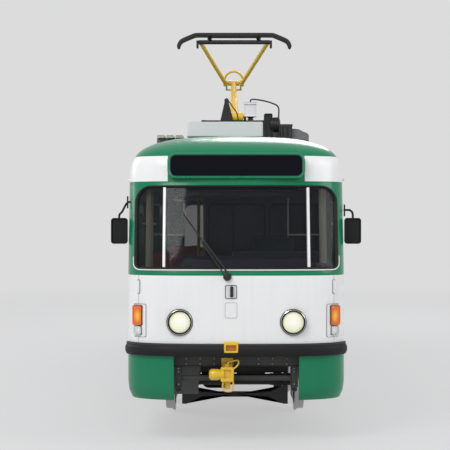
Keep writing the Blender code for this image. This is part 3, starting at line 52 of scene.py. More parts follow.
# height, inset of the side, inset of the end, depth of the rounded end
HULL = np.array((
    (0.42, 0.04, 0.1, 0.56),
    (0.5, 0.01, 0.05, 0.59),
    (0.6, 0, 0.03, 0.6),
    (1, 0, 0, 0.62),
    (1.66, 0, 0.01, 0.62),
    (1.74, 0, 0.03, 0.615),
    (2.56, 0, 0.255, 0.585),
    (2.6, 0, 0.265, 0.58),
    (2.76, 0.012, 0.285, 0.57),
    (2.87, 0.06, 0.325, 0.545),
    (2.95, 0.14, 0.42, 0.52),
    (3.02, 0.29, 0.59, 0.48),
    (3.07, 0.48, 0.86, 0.42),
    (3.108, 0.86, 1.3, 0.2),
))
GUTTER, CROWN, WALL = 2.6, 3.108, 0.05
ROOF_SEAM = 5.2             # where the roof's domed ends meet its middle
END_SPLIT, SEAT, FAR = 6.3, 0.0003, 8.0
BAY, WINDOW_WIDTH, WINDOW_LOW, WINDOW_HIGH, WINDOW_RADIUS = 1.4, 1.16, 1.65, 2.42, 0.08
DOOR_BAYS, DOORWAY_WIDTH, DOORWAY_TOP = (-4, 0, 4), 1.3, 2.45
ARCH_LENGTH, ARCH_TOP, ARCH_RADIUS, BOGIE_Y = 2.9, 0.79, 0.15, 3.2
SCREEN_LOW, SCREEN_HIGH = 1.73, 2.55
SCREEN_HALF = {-1: 1.015, 1: 0.9}          # front, rear
APRON_GAP, BUMPER_LOW, BUMPER_HIGH = 0.62, 0.865, 0.99
LAMP_X, LAMP_Z, LAMP_RADIUS = 0.56, 1.2, 0.1325
SIGN_LOW, SIGN_HIGH, SIGN_RADIUS, SIGN_BACK, SIGN_FACE = (-0.69, 2.625), (0.69, 2.885), 0.085, 6.3, 6.727
POCKET_LEFT, POCKET_RIGHT, POCKET_LOW, POCKET_BACK = -0.123, 0.017, 0.902, 6.9643
FLOOR_TOP, STEP_TOPS, SEAT_PITCH, POST_ROWS = 0.9, (0.435, 0.66), 0.78, (-3.6, 1.5, 4.3)
DRIVER_X, DRIVER_Y = 0.42, -5.4
MIRROR_X, MIRROR_Y, MIRROR_Z = 1.195, -6.35, 2.1

# Livery, as heights on the body
BELT_LOW, SKIRT_TOP, WHITE_LOW, WHITE_HIGH = 1.66, 0.94, 2.6, 2.858

# Photograph's view
CAMERA_PLACE, CAMERA_LENS, CAMERA_SENSOR = (-0.113, -22.0, 2.16), 122.2, 36.0


# Surfaces as arrays of points and quads

def grid(points, wrap_rows=False, wrap_columns=True):
    """Quads over a rows by columns array of points; either direction may close on itself."""
    rows, columns = points.shape[:2]
    i = np.arange(rows if wrap_rows else rows - 1)[:, None]
    j = np.arange(columns if wrap_columns else columns - 1)[None]
    below, beside = (i + 1) % rows, (j + 1) % columns
    quads = np.stack(np.broadcast_arrays(i * columns + j, i * columns + beside,
                                         below * columns + beside, below * columns + j), -1)
    return points.reshape(-1, 3), quads.reshape(-1, 4)


def straight(u, v, w):
    """Places a drawing upright as it is: across, up and out are x, z and -y."""
    return np.stack(np.broadcast_arrays(u, -w, v), -1)


def frame_of(origin, across, up):
    """Places a drawing in the plane of two unit directions at an origin; out is their cross product."""
    origin, across, up = (np.array(v, float) for v in (origin, across, up))
    out = np.cross(across, up)
    return lambda u, v, w: (origin + np.asarray(u)[..., None] * across + np.asarray(v)[..., None] * up
                            + np.asarray(w)[..., None] * out)


flat = frame_of((0, 0, 0), ACROSS, ALONG)       # drawn in x and y, out along +Z
upright = frame_of((0, 0, 0), ALONG, UP)    # drawn in y and z, out along +X


def circle(radius, sides=24, centre=(0, 0), start=0):
    """Points at even angles on a circle."""
    turn = start + np.arange(sides) * TAU / sides
    return np.stack((centre[0] + radius * np.cos(turn), centre[1] + radius * np.sin(turn)), -1)


def rounded(low, high, radius, steps=6):
    """A rectangle between two corners whose corners are quarter circles; radius is one or (bottom, top)."""
    bottom, top = radius if isinstance(radius, tuple) else (radius, radius)
    (u0, v0), (u1, v1) = low, high
    r = np.array((bottom, top, top, bottom))
    centres = np.array(((u1 - bottom, v0 + bottom), (u1 - top, v1 - top), (u0 + top, v1 - top),
                        (u0 + bottom, v0 + bottom)))
    turn = np.radians(np.array((-90, 0, 90, 180)))[:, None] + np.linspace(0, pi / 2, steps + 1)[None]
    points = centres[:, None] + r[:, None, None] * np.stack((np.cos(turn), np.sin(turn)), -1)
    return points.reshape(-1, 2)


def divided(outline, spacing):
    """The closed outline with points added so that none lie further apart than the spacing."""
    closed = np.vstack((outline, outline[:1]))
    reach = np.concatenate(([0], np.cumsum(np.linalg.norm(np.diff(closed, axis=0), axis=1))))
    at = np.union1d(reach, np.arange(0, reach[-1], spacing))
    at = at[np.concatenate(([True], np.diff(at) > 1e-5))][:-1]
    return np.stack([np.interp(at, reach, closed[:, k]) for k in range(2)], -1)


def inset(outline, depth):
    """The closed outline moved inwards by the depth along its own normals, with mitred corners."""
    before, after = np.roll(outline, 1, 0), np.roll(outline, -1, 0)
    one, two = outline - before, after - outline
    one /= np.maximum(np.linalg.norm(one, axis=1), 1e-9)[:, None]
    two /= np.maximum(np.linalg.norm(two, axis=1), 1e-9)[:, None]
    normal = np.stack((-(one + two)[:, 1], (one + two)[:, 0]), -1)
    normal /= np.maximum(np.linalg.norm(normal, axis=1), 1e-9)[:, None]
    mitre = np.clip((normal * np.stack((-one[:, 1], one[:, 0]), -1)).sum(1), 0.5, 1)
    return outline + normal * (depth / mitre)[:, None]


def loft(rings, place):
    """A closed surface through flat outlines of equal count at given heights, its ends closed to their middles."""
    first, last = rings[0], rings[-1]
    rows = [(np.tile(first[0].mean(0), (len(first[0]), 1)), first[1]), *rings,
            (np.tile(last[0].mean(0), (len(last[0]), 1)), last[1])]
    return grid(np.stack([place(r[:, 0], r[:, 1], np.full(len(r), w)) for r, w in rows]))


def slab(outline, low, high, edge=0, place=straight, steps=3, caps=1):
    """A plate on a counter-clockwise outline from low to high, its edges quarter circles, its caps in rings."""
    outline, rings = np.asarray(outline, float), []
    centre = outline.mean(0)
    for end, sign in ((low, 1), (high, -1)):
        turn = np.linspace(pi / 2, 0, steps + 1) if edge else np.zeros(1)
        arc = [(inset(outline, edge * sin(a)), end + sign * edge * (1 - cos(a))) for a in turn]
        flat = [(centre + (arc[0][0] - centre) * s, end) for s in np.linspace(0, 1, caps + 1)[1:-1]]
        rings += flat + arc if sign > 0 else (flat + arc)[::-1]
    return loft(rings, place)


def band(profile, outline, place=straight):
    """A closed ring: a profile of (inset, height) pairs carried round a closed outline."""
    return grid(np.stack([place(*inset(outline, d).T, np.full(len(outline), w)) for d, w in profile]), wrap_rows=True)


def between(outer, inner, low, high, edge, place=straight):
    """A frame between two outlines of equal count, its four long edges bevelled."""
    rings = ((outer, low + edge), (inset(outer, edge), low), (inset(inner, -edge), low), (inner, low + edge),
             (inner, high - edge), (inset(inner, -edge), high), (inset(outer, edge), high), (outer, high - edge))
    return grid(np.stack([place(*r.T, np.full(len(r), w)) for r, w in rings]), wrap_rows=True)


def turned(profile, origin, axis, sides=32):
    """A profile of (radius, distance along the axis) turned about it; one that starts off the axis closes on itself."""
    axis = np.array(axis, float) / np.linalg.norm(axis)
    side = np.cross(axis, UP if abs(axis[2]) < 0.9 else ACROSS)
    side /= np.linalg.norm(side)
    other = np.cross(axis, side)
    turn = np.arange(sides) * TAU / sides
    ring = np.cos(turn)[:, None] * side + np.sin(turn)[:, None] * other
    radius, along = np.array(profile, float).T
    points = np.array(origin, float) + radius[:, None, None] * ring[None] + along[:, None, None] * axis
    return grid(points, wrap_rows=radius[0] > 0)


def curve(points, count=24):
    """A smooth line through a few points: a Catmull-Rom spline sampled at even parameters."""
    points = np.array(points, float)
    ends = np.vstack((2 * points[0] - points[1], points, 2 * points[-1] - points[-2]))
    at = np.linspace(0, len(points) - 1, count)
    i = np.minimum(at.astype(int), len(points) - 2)
    t = (at - i)[:, None]
    a, b, c, d = (ends[i + k] for k in range(4))
    return 0.5 * (2 * b + (c - a) * t + (2 * a - 5 * b + 4 * c - d) * t ** 2 + (3 * b - a - 3 * c + d) * t ** 3)


def swept(path, profile, up=UP, closed=False):
    """A closed flat profile carried along a path; up fixes its turn, one direction or one per point."""
    path = np.array(path, float)
    along = np.gradient(path, axis=0) if not closed else np.roll(path, -1, 0) - np.roll(path, 1, 0)
    along /= np.linalg.norm(along, axis=1)[:, None]
    side = np.cross(np.broadcast_to(np.array(up, float), path.shape), along)
    side /= np.maximum(np.linalg.norm(side, axis=1), 1e-9)[:, None]
    top = np.cross(along, side)
    profile = np.array(profile, float)
    rows = path[:, None] + profile[None, :, :1] * side[:, None] + profile[None, :, 1:] * top[:, None]
    if closed:
        return grid(rows, wrap_rows=True)
    count = len(profile)
    return grid(np.concatenate((np.tile(path[:1, None], (1, count, 1)), rows, np.tile(path[-1:, None], (1, count, 1)))))


def pipe(path, radius, sides=12, up=UP, closed=False):
    """A round bar along a path."""
    return swept(path, circle(radius, sides), up, closed)


def bar(start, end, radius, sides=16, end_radius=None, edge=0):
    """A round bar or cone between two points, its rims eased."""
    start, end = np.array(start, float), np.array(end, float)
    length = np.linalg.norm(end - start)
    far = radius if end_radius is None else end_radius
    edge = edge or min(radius, far) * 0.15
    profile = ((0, 0), (radius - edge, 0), (radius, edge), (far, length - edge), (far - edge, length), (0, length))
    return turned(profile, start, end - start, sides)


def boss(centre, half, radius, chamfer, axis=ACROSS, sides=28, bore=0):
    """A round boss centred on a point, both rims chamfered by (radially, along), with or without a bore."""
    inner, edge = radius - chamfer[0], half - chamfer[1]
    profile = ((bore, -half), (inner, -half), (radius, -edge), (radius, edge), (inner, half), (bore, half))
    return turned(profile, centre, axis, sides)


def block(low, high, edge=0.008, steps=3):
    """A box between two corners with rounded edges."""
    low, high = np.array(low, float), np.array(high, float)
    edge = min(edge, 0.45 * (high - low).min())
    outline = rounded((low[0], low[2]), (high[0], high[2]), edge, 3)
    return slab(outline, -high[1], -low[1], edge * 0.9, straight, steps)


def half_turn(part):
    """A copy turned half round about the car's upright middle line."""
    return part[0] * np.array((-1.0, -1.0, 1.0)), part[1]


def pair(part):
    """A part and its mirror image across the car's middle plane."""
    return [part, (part[0] * np.array((-1.0, 1.0, 1.0)), part[1])]


def merged(name, points, quads, near=2e-6, thin=1e-7, outwards=True):
    """One mesh, its poles merged and, if asked, every closed part facing out."""
    mesh = bpy.data.meshes.new(name)
    mesh.from_pydata(points, [], quads)
    work = bmesh.new()
    work.from_mesh(mesh)
    bmesh.ops.remove_doubles(work, verts=work.verts, dist=near)
    bmesh.ops.dissolve_degenerate(work, edges=work.edges, dist=thin)
    if outwards:
        bmesh.ops.recalc_face_normals(work, faces=work.faces)
    work.to_mesh(mesh)
    work.free()
    return mesh


def mesh_of(name, parts):
    """One mesh from parts."""
    offsets = np.cumsum([0] + [len(p) for p, _ in parts[:-1]])
    quads = np.concatenate([q + o for (_, q), o in zip(parts, offsets)])
    return merged(name, np.concatenate([p for p, _ in parts]), quads)


def shade(mesh, angle=32):
    """Smooth shading that breaks at edges sharper than the angle."""
    mesh.shade_smooth()
    mesh.set_sharp_from_angle(angle=radians(angle))


def placed(name, data):
    """An object of this mesh, light or camera, linked into the scene."""
    made = bpy.data.objects.new(name, data)
    bpy.context.scene.collection.objects.link(made)
    return made


def piece(name, parts, look, body="root", slot=None, replaces=(), angle=32):
    """A finished piece of the tram that moves with one body."""
    parts = parts if isinstance(parts, list) else [parts]
    return dress(placed(name, mesh_of(name, parts)), look, body, slot, replaces, angle)


# The material slot of each look that keeps one slot all over the car
SLOT_LOOKS = {"black_rubber": ("black_enamel_look", "black_rubber_look", "highlight_rubber_look"),
              "dark_steel": ("dark_steel_look", "ceramic"), "grey_steel": ("grey_steel_look", "chrome_look"),
              "glass": ("side_glass", "screen_glass", "sign_glass", "partition_glass"),
              "lamp_lens": ("amber_lens", "clear_lens", "red_lens", "beam_lens"), "light_grey": ("light_grey_enamel",),
              "white_paint": ("white_enamel",), "green_paint": ("green_enamel",),
              "yellow_paint": ("yellow_enamel", "pocket_shade_enamel")}
OWN_SLOT = {look: slot for slot, looks in SLOT_LOOKS.items() for look in looks}


def dress(made, look, body="root", slot=None, replaces=(), angle=32):
    """Gives a finished piece its looks and its body, and hides the nodes it stands for."""
    made.data.materials.clear()
    for material in look if isinstance(look, list) else [look]:
        made.data.materials.append(material)
    shade(made.data, angle)
    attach(made, body)
    slot = slot or OWN_SLOT.get(made.data.materials[0].name)
    if replaces:
        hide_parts(*replaces)
    return made


def settle(made):
    """Applies an object's modifiers to its mesh."""
    bpy.context.view_layer.update()
    solid = bpy.data.meshes.new_from_object(made.evaluated_get(bpy.context.evaluated_depsgraph_get()))
    old = made.data
    made.modifiers.clear()
    made.data = solid
    bpy.data.meshes.remove(old)
    return made


def trimmed(source, name, keep, cuts):
    """A copy of a solid mesh kept inside one box and cut by closed parts."""
    made = placed(name, source.copy())
    helpers = []
    for operation, parts in (("INTERSECT", [keep]), ("DIFFERENCE", cuts)):
        if parts:
            helper = placed(f"{name}_{operation}", mesh_of("cutter", parts))
            cutter = made.modifiers.new(operation, "BOOLEAN")
            cutter.operation, cutter.solver, cutter.object = operation, "EXACT", helper
            helpers.append(helper)
    settle(made)
    for helper in helpers:
        bpy.data.objects.remove(helper, do_unlink=True)
    return made


def plain_box(low, high):
    """A box with sharp edges, for cutting."""
    (x0, y0, z0), (x1, y1, z1) = low, high
    return slab(((x0, z0), (x1, z0), (x1, z1), (x0, z1)), -y1, -y0)


# The body's skin

def monotone(knots, values, at):
    """Cubic through table rows whose slopes are harmonic means of the chords beside them, so it never overshoots."""
    step = np.diff(knots)[:, None]
    chord = np.diff(values, axis=0) / step
    one, two = chord[:-1], chord[1:]
    same = one * two > 0
    slope = np.vstack((chord[:1], np.where(same, 2 * one * two / np.where(same, one + two, 1), 0), chord[-1:]))
    i = np.clip(np.searchsorted(knots, at, side="right") - 1, 0, len(step) - 1)
    h, t = step[i], ((at - knots[i]) / step[i, 0])[:, None]
    return ((1 + 2 * t) * (1 - t) ** 2 * values[i] + t * (1 - t) ** 2 * h * slope[i]
            + t * t * (3 - 2 * t) * values[i + 1] + t * t * (t - 1) * h * slope[i + 1])


def hull_sections(per_row=5):
    """Height, half width, half length and end depth along the skin, by distance over its cross-section."""
    rows = HULL * (1, -1, -1, 1) + (0, HALF_WIDTH, HALF_LENGTH, 0)
    reach = np.concatenate(([0], np.cumsum(np.hypot(np.diff(rows[:, 0]), np.diff(rows[:, 1])))))
    at = np.unique(np.concatenate([np.linspace(a, b, per_row + 1) for a, b in zip(reach, reach[1:])]))
    return monotone(reach, rows, at)


SECTIONS = hull_sections()


def hull_at(height):
    """Half width, half length and end depth of the skin at a height."""
    return [np.interp(height, SECTIONS[:, 0], SECTIONS[:, k]) for k in (1, 2, 3)]


def superellipse(x, width, depth):
    """How far a superellipse of this half width and depth stands out at x."""
    return depth * np.clip(1 - (np.abs(x) / width) ** CORNER_POWER, 0, 1) ** (1 / CORNER_POWER)


def end_skin(x, z):
    """Distance of an end's skin from the middle: straight length plus a superellipse's share of the depth."""
    width, length, depth = hull_at(z)
    return length - depth + superellipse(x, width, depth)


def on_end(facing):
    """Places a drawing of x and z on the front (-1) or rear (1) skin, raised along the skin's own normal."""
    def place(x, z, lift):
        e = 1e-3
        across = (end_skin(x + e, z) - end_skin(x - e, z)) / (2 * e)
        up = (end_skin(x, z + e) - end_skin(x, z - e)) / (2 * e)
        normal = np.stack((-across, np.full_like(across, facing), -up), -1)
        normal /= np.linalg.norm(normal, axis=-1)[..., None]
        return np.stack((x, facing * end_skin(x, z), z), -1) + np.asarray(lift)[..., None] * normal
    return place


def on_side(side):
    """Places a drawing of y and z on the flat side wall, raised outwards."""
    return lambda y, z, lift: np.stack(np.broadcast_arrays(side * (HALF_WIDTH + lift), y, z), -1)


def end_plan(width, length, depth, steps=20):
    """Plan points of one end from +X to -X on the superellipse, at even angles."""
    turn = np.linspace(0, pi, 2 * steps + 1)
    across, along = np.cos(turn), np.sin(turn)
    reach = (np.abs(across) ** CORNER_POWER + along ** CORNER_POWER) ** (-1 / CORNER_POWER)
    return np.stack((width * across * reach, length - depth + depth * along * reach), -1)


def skin_shell():
    """The whole skin: rings of both ends' plans over the sections, thickened inwards, the lining as slot 1."""
    rings = []
    for z, width, length, depth in SECTIONS:
        end = end_plan(width, length, depth)
        plan = np.vstack((end, -end))
        rings.append(np.column_stack((plan, np.full(len(plan), z))))
    rings = np.stack(rings)
    top = rings[-1] * (0, 0.93, 1.0)
    points, quads = grid(np.concatenate((rings, top[None])))
    mesh = merged("skin", points, quads, 1e-5, 1e-6, False)
    for _ in range(2):
        mesh.materials.append(None)
    made = placed("skin", mesh)
    wall = made.modifiers.new("wall", "SOLIDIFY")
    wall.thickness, wall.offset, wall.use_even_offset = WALL, -1.0, True
    wall.material_offset = 1
    settle(made)
    shell = made.data
    bpy.data.objects.remove(made, do_unlink=True)
    return shell


# Materials: shader maths written as expressions

class Wire:
    """One value, colour or vector inside a material."""

    def __init__(self, look, socket):
        self.look, self.socket = look, socket

    def maths(self, operation, *others, clamp=False):
        return self.look.add("Math", {"operation": operation, "use_clamp": clamp}, [self, *others])

    def __rsub__(self, other):
        return self.look.add("Math", {"operation": "SUBTRACT"}, [other, self])

    def __abs__(self):
        return self.maths("ABSOLUTE")

    def above(self, edge, soft=0.002):
        """0 below the edge and 1 above it, over a soft width."""
        return self.maths("MULTIPLY_ADD", 1 / soft, 0.5 - edge / soft, clamp=True)

    def near(self, middle, half, soft=0.002):
        """1 within half a width of the middle."""
        return 1 - abs(self - middle).above(half, soft)


for sign, operation in (("add", "ADD"), ("radd", "ADD"), ("sub", "SUBTRACT"), ("mul", "MULTIPLY"),
                        ("rmul", "MULTIPLY"), ("truediv", "DIVIDE"), ("pow", "POWER")):
    setattr(Wire, f"__{sign}__", lambda self, other, operation=operation: self.maths(operation, other))


class Look:
    """A material, its shader and the nodes that feed it."""

    def __init__(self, name, colour, roughness=0.5, metallic=0, **fixed):
        self.material = bpy.data.materials.new(name)
        self.material.use_nodes = True
        self.tree = self.material.node_tree
        self.shader = self.tree.nodes["Principled BSDF"]
        values = {"Base Color": colour, "Roughness": roughness, "Metallic": metallic}
        values.update({key.replace("_", " "): value for key, value in fixed.items()})
        for key, value in values.items():
            self.feed(self.shader.inputs[key], value)

    def feed(self, socket, value):
        """Links a wire to a socket, or sets its value."""
        if isinstance(value, Wire):
            self.tree.links.new(value.socket, socket)
        elif isinstance(value, tuple) and socket.type == "RGBA":
            socket.default_value = (*value[:3], 1.0)
        else:
            socket.default_value = value

    def add(self, kind, settings=None, inputs=(), output=0):
        """A node of this type, with its settings made first and then its inputs, as one of its outputs."""
        node = self.tree.nodes.new(f"ShaderNode{kind}")
        for key, value in (settings or {}).items():
            if key == "stops":
                ramp = node.color_ramp.elements
                for i, (place, colour) in enumerate(value):
                    stop = ramp[i] if i < len(ramp) else ramp.new(place)
                    stop.position, stop.color = place, (*colour, 1.0)
            else:
                setattr(node, key, value)
        pairs = inputs.items() if isinstance(inputs, dict) else enumerate(inputs)
        for key, value in pairs:
            self.feed(node.inputs[key], value)
        return Wire(self, node.outputs[output])

    def place(self):
        """The point in the object's own space, and its three numbers."""
        spot = self.add("TexCoord", output="Object")
        return spot, *(self.add("SeparateXYZ", None, [spot], k) for k in range(3))

    def noise(self, scale, detail=2.0, stretch=None, rough=0.5):
        """Cloudy noise over the object's own space."""
        spot = self.place()[0]
        if stretch:
            spot = self.add("Mapping", None, {"Vector": spot, "Scale": stretch})
        return self.add("TexNoise", None, {"Vector": spot, "Scale": scale, "Detail": detail, "Roughness": rough})

    def mix(self, share, first, second):
        """A blend of two colours."""
        return self.add("Mix", {"data_type": "RGBA"}, {"Factor": share, 6: first, 7: second}, 2)

    def bump(self, height, strength=0.3, distance=0.002):
        """A normal raised by the height."""
        return self.add("Bump", None, {"Height": height, "Strength": strength, "Distance": distance})

    def done(self, **varying):
        """Feeds what changes over the surface and returns the finished material."""
        for key, value in varying.items():
            self.feed(self.shader.inputs[key.replace("_", " ")], value)
        return self.material


GREEN, WHITE = (0, 0.185, 0.083), (0.8, 0.8, 0.8)
DUST = (0.18, 0.16, 0.13)


def enamel(name, colour, roughness=0.26, dirt=0.25, coat=0.5):
    """Gloss paint: slight orange peel, uneven polish, and road dust that thickens towards the rails."""
    look = Look(name, colour, roughness, Coat_Weight=coat, Coat_Roughness=0.08)
    _, _, _, z = look.place()
    cloud = look.noise(1.7, 4, rough=0.6)
    low = 1 - z.above(0.75, 0.75)
    grime = (low * cloud * dirt).maths("ADD", cloud * 0.03, clamp=True)
    return look.done(Base_Color=look.mix(grime, colour, DUST), Roughness=cloud * 0.12 + (roughness - 0.05) + low * 0.12,
                     Normal=look.bump(look.noise(60, 2), 0.04, 0.001))


def livery(name, seams=()):
    """Body paint in bands of green and white by height, with panel seams as dark grooves.

    seams are (axis, place, low z, high z) lines drawn across x or y."""
    look = Look(name, GREEN, 0.24, Specular_IOR_Level=0.25, Coat_Weight=0.12, Coat_Roughness=0.06)
    _, x, y, z = look.place()
    white = z.near((SKIRT_TOP + BELT_LOW) / 2, (BELT_LOW - SKIRT_TOP) / 2, 0.003)
    cantrail = z.near((WHITE_LOW + WHITE_HIGH) / 2, (WHITE_HIGH - WHITE_LOW) / 2, 0.003)
    under_sign = x.near(0, SIGN_HIGH[0], 0.003) * (1 - y.above(-6.2, 0.05))
    share = white.maths("MAXIMUM", cantrail * (1 - under_sign))
    paint = look.mix(share, GREEN, WHITE)
    cloud = look.noise(1.3, 4, rough=0.6)
    streak = look.noise(2.2, 3, (9.0, 9.0, 0.5))
    low = 1 - z.above(0.72, 0.6)
    grime = (low * cloud * 0.07).maths("ADD", streak.above(0.62, 0.25) * 0.04, clamp=True)
    paint = look.mix(grime, paint, DUST)
    groove = None
    for axis, at, bottom, top in seams:
        line = (x if axis == "x" else y).near(at, 0.0018, 0.0016) * z.near((bottom + top) / 2, (top - bottom) / 2)
        groove = line if groove is None else groove.maths("MAXIMUM", line)
    height = look.noise(55, 2) * 0.02
    if groove is not None:
        paint = look.mix(groove * 0.75, paint, (0.05, 0.05, 0.05))
        height = height - groove
    return look.done(Base_Color=paint, Roughness=cloud * 0.1 + 0.19 + low * 0.15, Normal=look.bump(height, 0.35, 0.002))


def rubber(name="black_rubber_look", colour=(0.007, 0.007, 0.0075), roughness=0.6):
    """Moulded black rubber with a fine grain and a dusty bloom."""
    look = Look(name, colour, roughness, Specular_IOR_Level=0.25)
    cloud = look.noise(6, 3)
    return look.done(Base_Color=look.mix(cloud * 0.05, colour, (0.1, 0.1, 0.1)),
                     Roughness=cloud * 0.2 + roughness - 0.1, Normal=look.bump(look.noise(240, 2), 0.12, 0.0008))


def steel(name, colour, roughness=0.5, metallic=0.4, dirt=0.35, grain=40):
    """Painted or bare steel: brake dust and grease in clouds, and a cast grain."""
    look = Look(name, colour, roughness, metallic)
    cloud, grains = look.noise(3.2, 5, rough=0.62), look.noise(grain, 3)
    grime = cloud.above(0.52, 0.35) * dirt
    return look.done(Base_Color=look.mix(grime, colour, DUST), Roughness=cloud * 0.25 + roughness - 0.08,
                     Metallic=metallic * (1 - grime), Normal=look.bump(grains, 0.15, 0.0015))


def glass(name, tint, alpha, roughness=0.03, gloss=0.25):
    """Tinted glass seen as a dark see-through sheet with faint wipe marks in its gloss."""
    look = Look(name, tint, roughness, Alpha=alpha, IOR=1.5, Specular_IOR_Level=gloss, Coat_Weight=gloss,
                Coat_Roughness=0.02)
    haze = look.noise(2.5, 3, (1.0, 1.0, 3.0))
    return look.done(Roughness=haze * 0.05 + roughness)


def plastic(name, colour, roughness=0.45, grain=90, speckle=0.1):
    """Moulded plastic with a leather-like grain."""
    look = Look(name, colour, roughness)
    cloud = look.noise(4, 3)
    return look.done(Base_Color=look.mix(cloud * speckle, colour, tuple(c * 0.45 for c in colour)),
                     Roughness=cloud * 0.15 + roughness - 0.06, Normal=look.bump(look.noise(grain, 2), 0.15, 0.001))


def lamp(name, colour, glow, strength, pitch, axis, heart, bright):
    """A ribbed lamp lens: the ribs are a wave across one axis, and a bright middle fades to the lens colour.

    heart is (x, z, half width, half height) of the bright middle, the same on both sides of the car."""
    look = Look(name, colour, 0.15, Coat_Weight=0.4, Coat_Roughness=0.03, Emission_Strength=strength)
    _, x, _, z = look.place()
    ribs = ((x, z)[axis] * (TAU / pitch)).maths("SINE")
    off = ((abs(x) - heart[0]) / heart[2]) ** 2 + ((z - heart[1]) / heart[3]) ** 2
    fade = off.maths("SQRT").maths("SMOOTH_MIN", 1.0, 0.1)
    tone = look.mix(fade, bright, colour)
    return look.done(Base_Color=look.mix(ribs * 0.06 + 0.06, tone, tuple(c * 0.5 for c in colour)),
                     Emission_Color=look.mix(fade, glow, colour), Normal=look.bump(ribs, 0.18, 0.001))


RUBBER = rubber()
TRIM = steel("bright_trim_look", (0.62, 0.63, 0.64), 0.25, 0.9, 0.05, 120)
WHITE_PAINT = enamel("white_enamel", WHITE, dirt=0.12)
GREEN_PAINT = enamel("green_enamel", GREEN, dirt=0.1)
YELLOW_PAINT = enamel("yellow_enamel", (0.8, 0.5, 0.01), 0.34, 0.35, 0.3)
DARK_STEEL = steel("dark_steel_look", (0.01, 0.0105, 0.012), 0.6, 0.2, 0.1)
# A lighter copy of the black rubber for the bumper's top strip: a painted highlight.
HIGHLIGHT_RUBBER = rubber("highlight_rubber_look", (0.03, 0.03, 0.031), 0.5)
GREY_STEEL = steel("grey_steel_look", (0.2, 0.2, 0.21), 0.45, 0.7)
LIGHT_GREY = enamel("light_grey_enamel", (0.7, 0.7, 0.72), 0.34, 0.1, 0.2)
CRATE_GREY = enamel("crate_enamel", (0.032, 0.036, 0.04), 0.45, 0.2, 0.1)
SCREEN_GLASS = glass("screen_glass", (0.009, 0.011, 0.014), 0.4, gloss=0.16)
SIDE_GLASS = glass("side_glass", (0.022, 0.028, 0.028), 0.5)
SIGN_GLASS = glass("sign_glass", (0.002, 0.002, 0.006), 1.0, 0.1, 0.08)
LINING = plastic("lining", (0.42, 0.4, 0.35), 0.5)


# Stage: floor, world, lights and camera

def build_stage():
    """A pale floor that fades into an even pale background, soft light all round and one broad key light."""
    scene = bpy.context.scene
    scene.view_settings.view_transform = "Standard"
    pale = (0.715, 0.715, 0.722)
    world = bpy.data.worlds.new("studio")
    scene.world = world
    world.use_nodes = True
    nodes, links = world.node_tree.nodes, world.node_tree.links
    nodes.clear()
    out, path = nodes.new("ShaderNodeOutputWorld"), nodes.new("ShaderNodeLightPath")
    seen, light = nodes.new("ShaderNodeBackground"), nodes.new("ShaderNodeBackground")
    seen.inputs[0].default_value, seen.inputs[1].default_value = (*pale, 1), 1.0
    light.inputs[0].default_value, light.inputs[1].default_value = (0.97, 0.985, 1.0, 1), 0.62
    blend = nodes.new("ShaderNodeMixShader")
    rays = path.outputs["Is Camera Ray"]
    for kind in ("Is Glossy Ray", "Is Transmission Ray"):
        either = nodes.new("ShaderNodeMath")
        either.operation = "MAXIMUM"
        links.new(rays, either.inputs[0])
        links.new(path.outputs[kind], either.inputs[1])
        rays = either.outputs[0]
    for i, source in enumerate((rays, light.outputs[0], seen.outputs[0])):
        links.new(source, blend.inputs[i])
    links.new(blend.outputs[0], out.inputs[0])

    look = Look("floor_look", (0.66, 0.66, 0.665), 0.9)
    _, x, y, _ = look.place()
    away = (x * x + y * y).maths("SQRT").above(22.0, 18.0) * 0.3 + 0.7
    camera_ray, glossy_ray, clear_ray = (look.add("LightPath", output=f"Is {kind} Ray")
                                         for kind in ("Camera", "Glossy", "Transmission"))
    seen_floor = away * camera_ray.maths("MAXIMUM", glossy_ray).maths("MAXIMUM", clear_ray)
    glow = look.add("Emission", None, [(*pale, 1), 1.0])
    cover = look.add("MixShader", None, [seen_floor, Wire(look, look.shader.outputs[0]), glow])
    look.tree.links.new(cover.socket, look.tree.nodes["Material Output"].inputs[0])
    radius = np.array((0, 12.0, 40.0, 400.0))
    disc = radius[:, None, None] * np.column_stack((circle(1.0, 48), np.zeros(48)))[None]
    floor = placed("floor", bpy.data.meshes.new("floor"))
    points, quads = grid(disc - (0, 0, 0.0005))
    floor.data.from_pydata(points, [], quads)
    floor.data.materials.append(look.material)

    for name, place, size, power in (
            ("key", (-7.0, -17.0, 13.0), 9.0, 1500.0), ("fill", (12.0, -9.0, 8.0), 8.0, 520.0),
            ("back", (3.0, 17.0, 13.0), 9.0, 900.0), ("door_side", (-14.0, 4.0, 8.0), 8.0, 520.0)):
        lamp_data = bpy.data.lights.new(name, "AREA")
        lamp_data.shape, lamp_data.size, lamp_data.energy = "DISK", size, power
        holder = placed(name, lamp_data)
        holder.location = place
        towards = np.array((0, 0, 1.6)) - place
        flat = hypot(towards[0], towards[1])
        holder.rotation_euler = (atan2(flat, -towards[2]), 0, atan2(-towards[0], towards[1]))

    camera = bpy.data.cameras.new("camera")
    camera.lens, camera.sensor_width = CAMERA_LENS, CAMERA_SENSOR
    camera.clip_end = 500.0
    holder = placed("camera", camera)
    holder.location, holder.rotation_euler = CAMERA_PLACE, (pi / 2, 0, 0)
    scene.camera = holder


build_stage()


# Body shells

def window_outline(bay):
    """A side window's rounded outline, in y and z."""
    return rounded((bay * BAY - WINDOW_WIDTH / 2, WINDOW_LOW), (bay * BAY + WINDOW_WIDTH / 2, WINDOW_HIGH),
                   WINDOW_RADIUS, 8)


def screen_outline(facing):
    """The rounded outline of an end's window, in x and z."""
    return rounded((-SCREEN_HALF[facing], SCREEN_LOW), (SCREEN_HALF[facing], SCREEN_HIGH), (0.05, 0.16), 10)


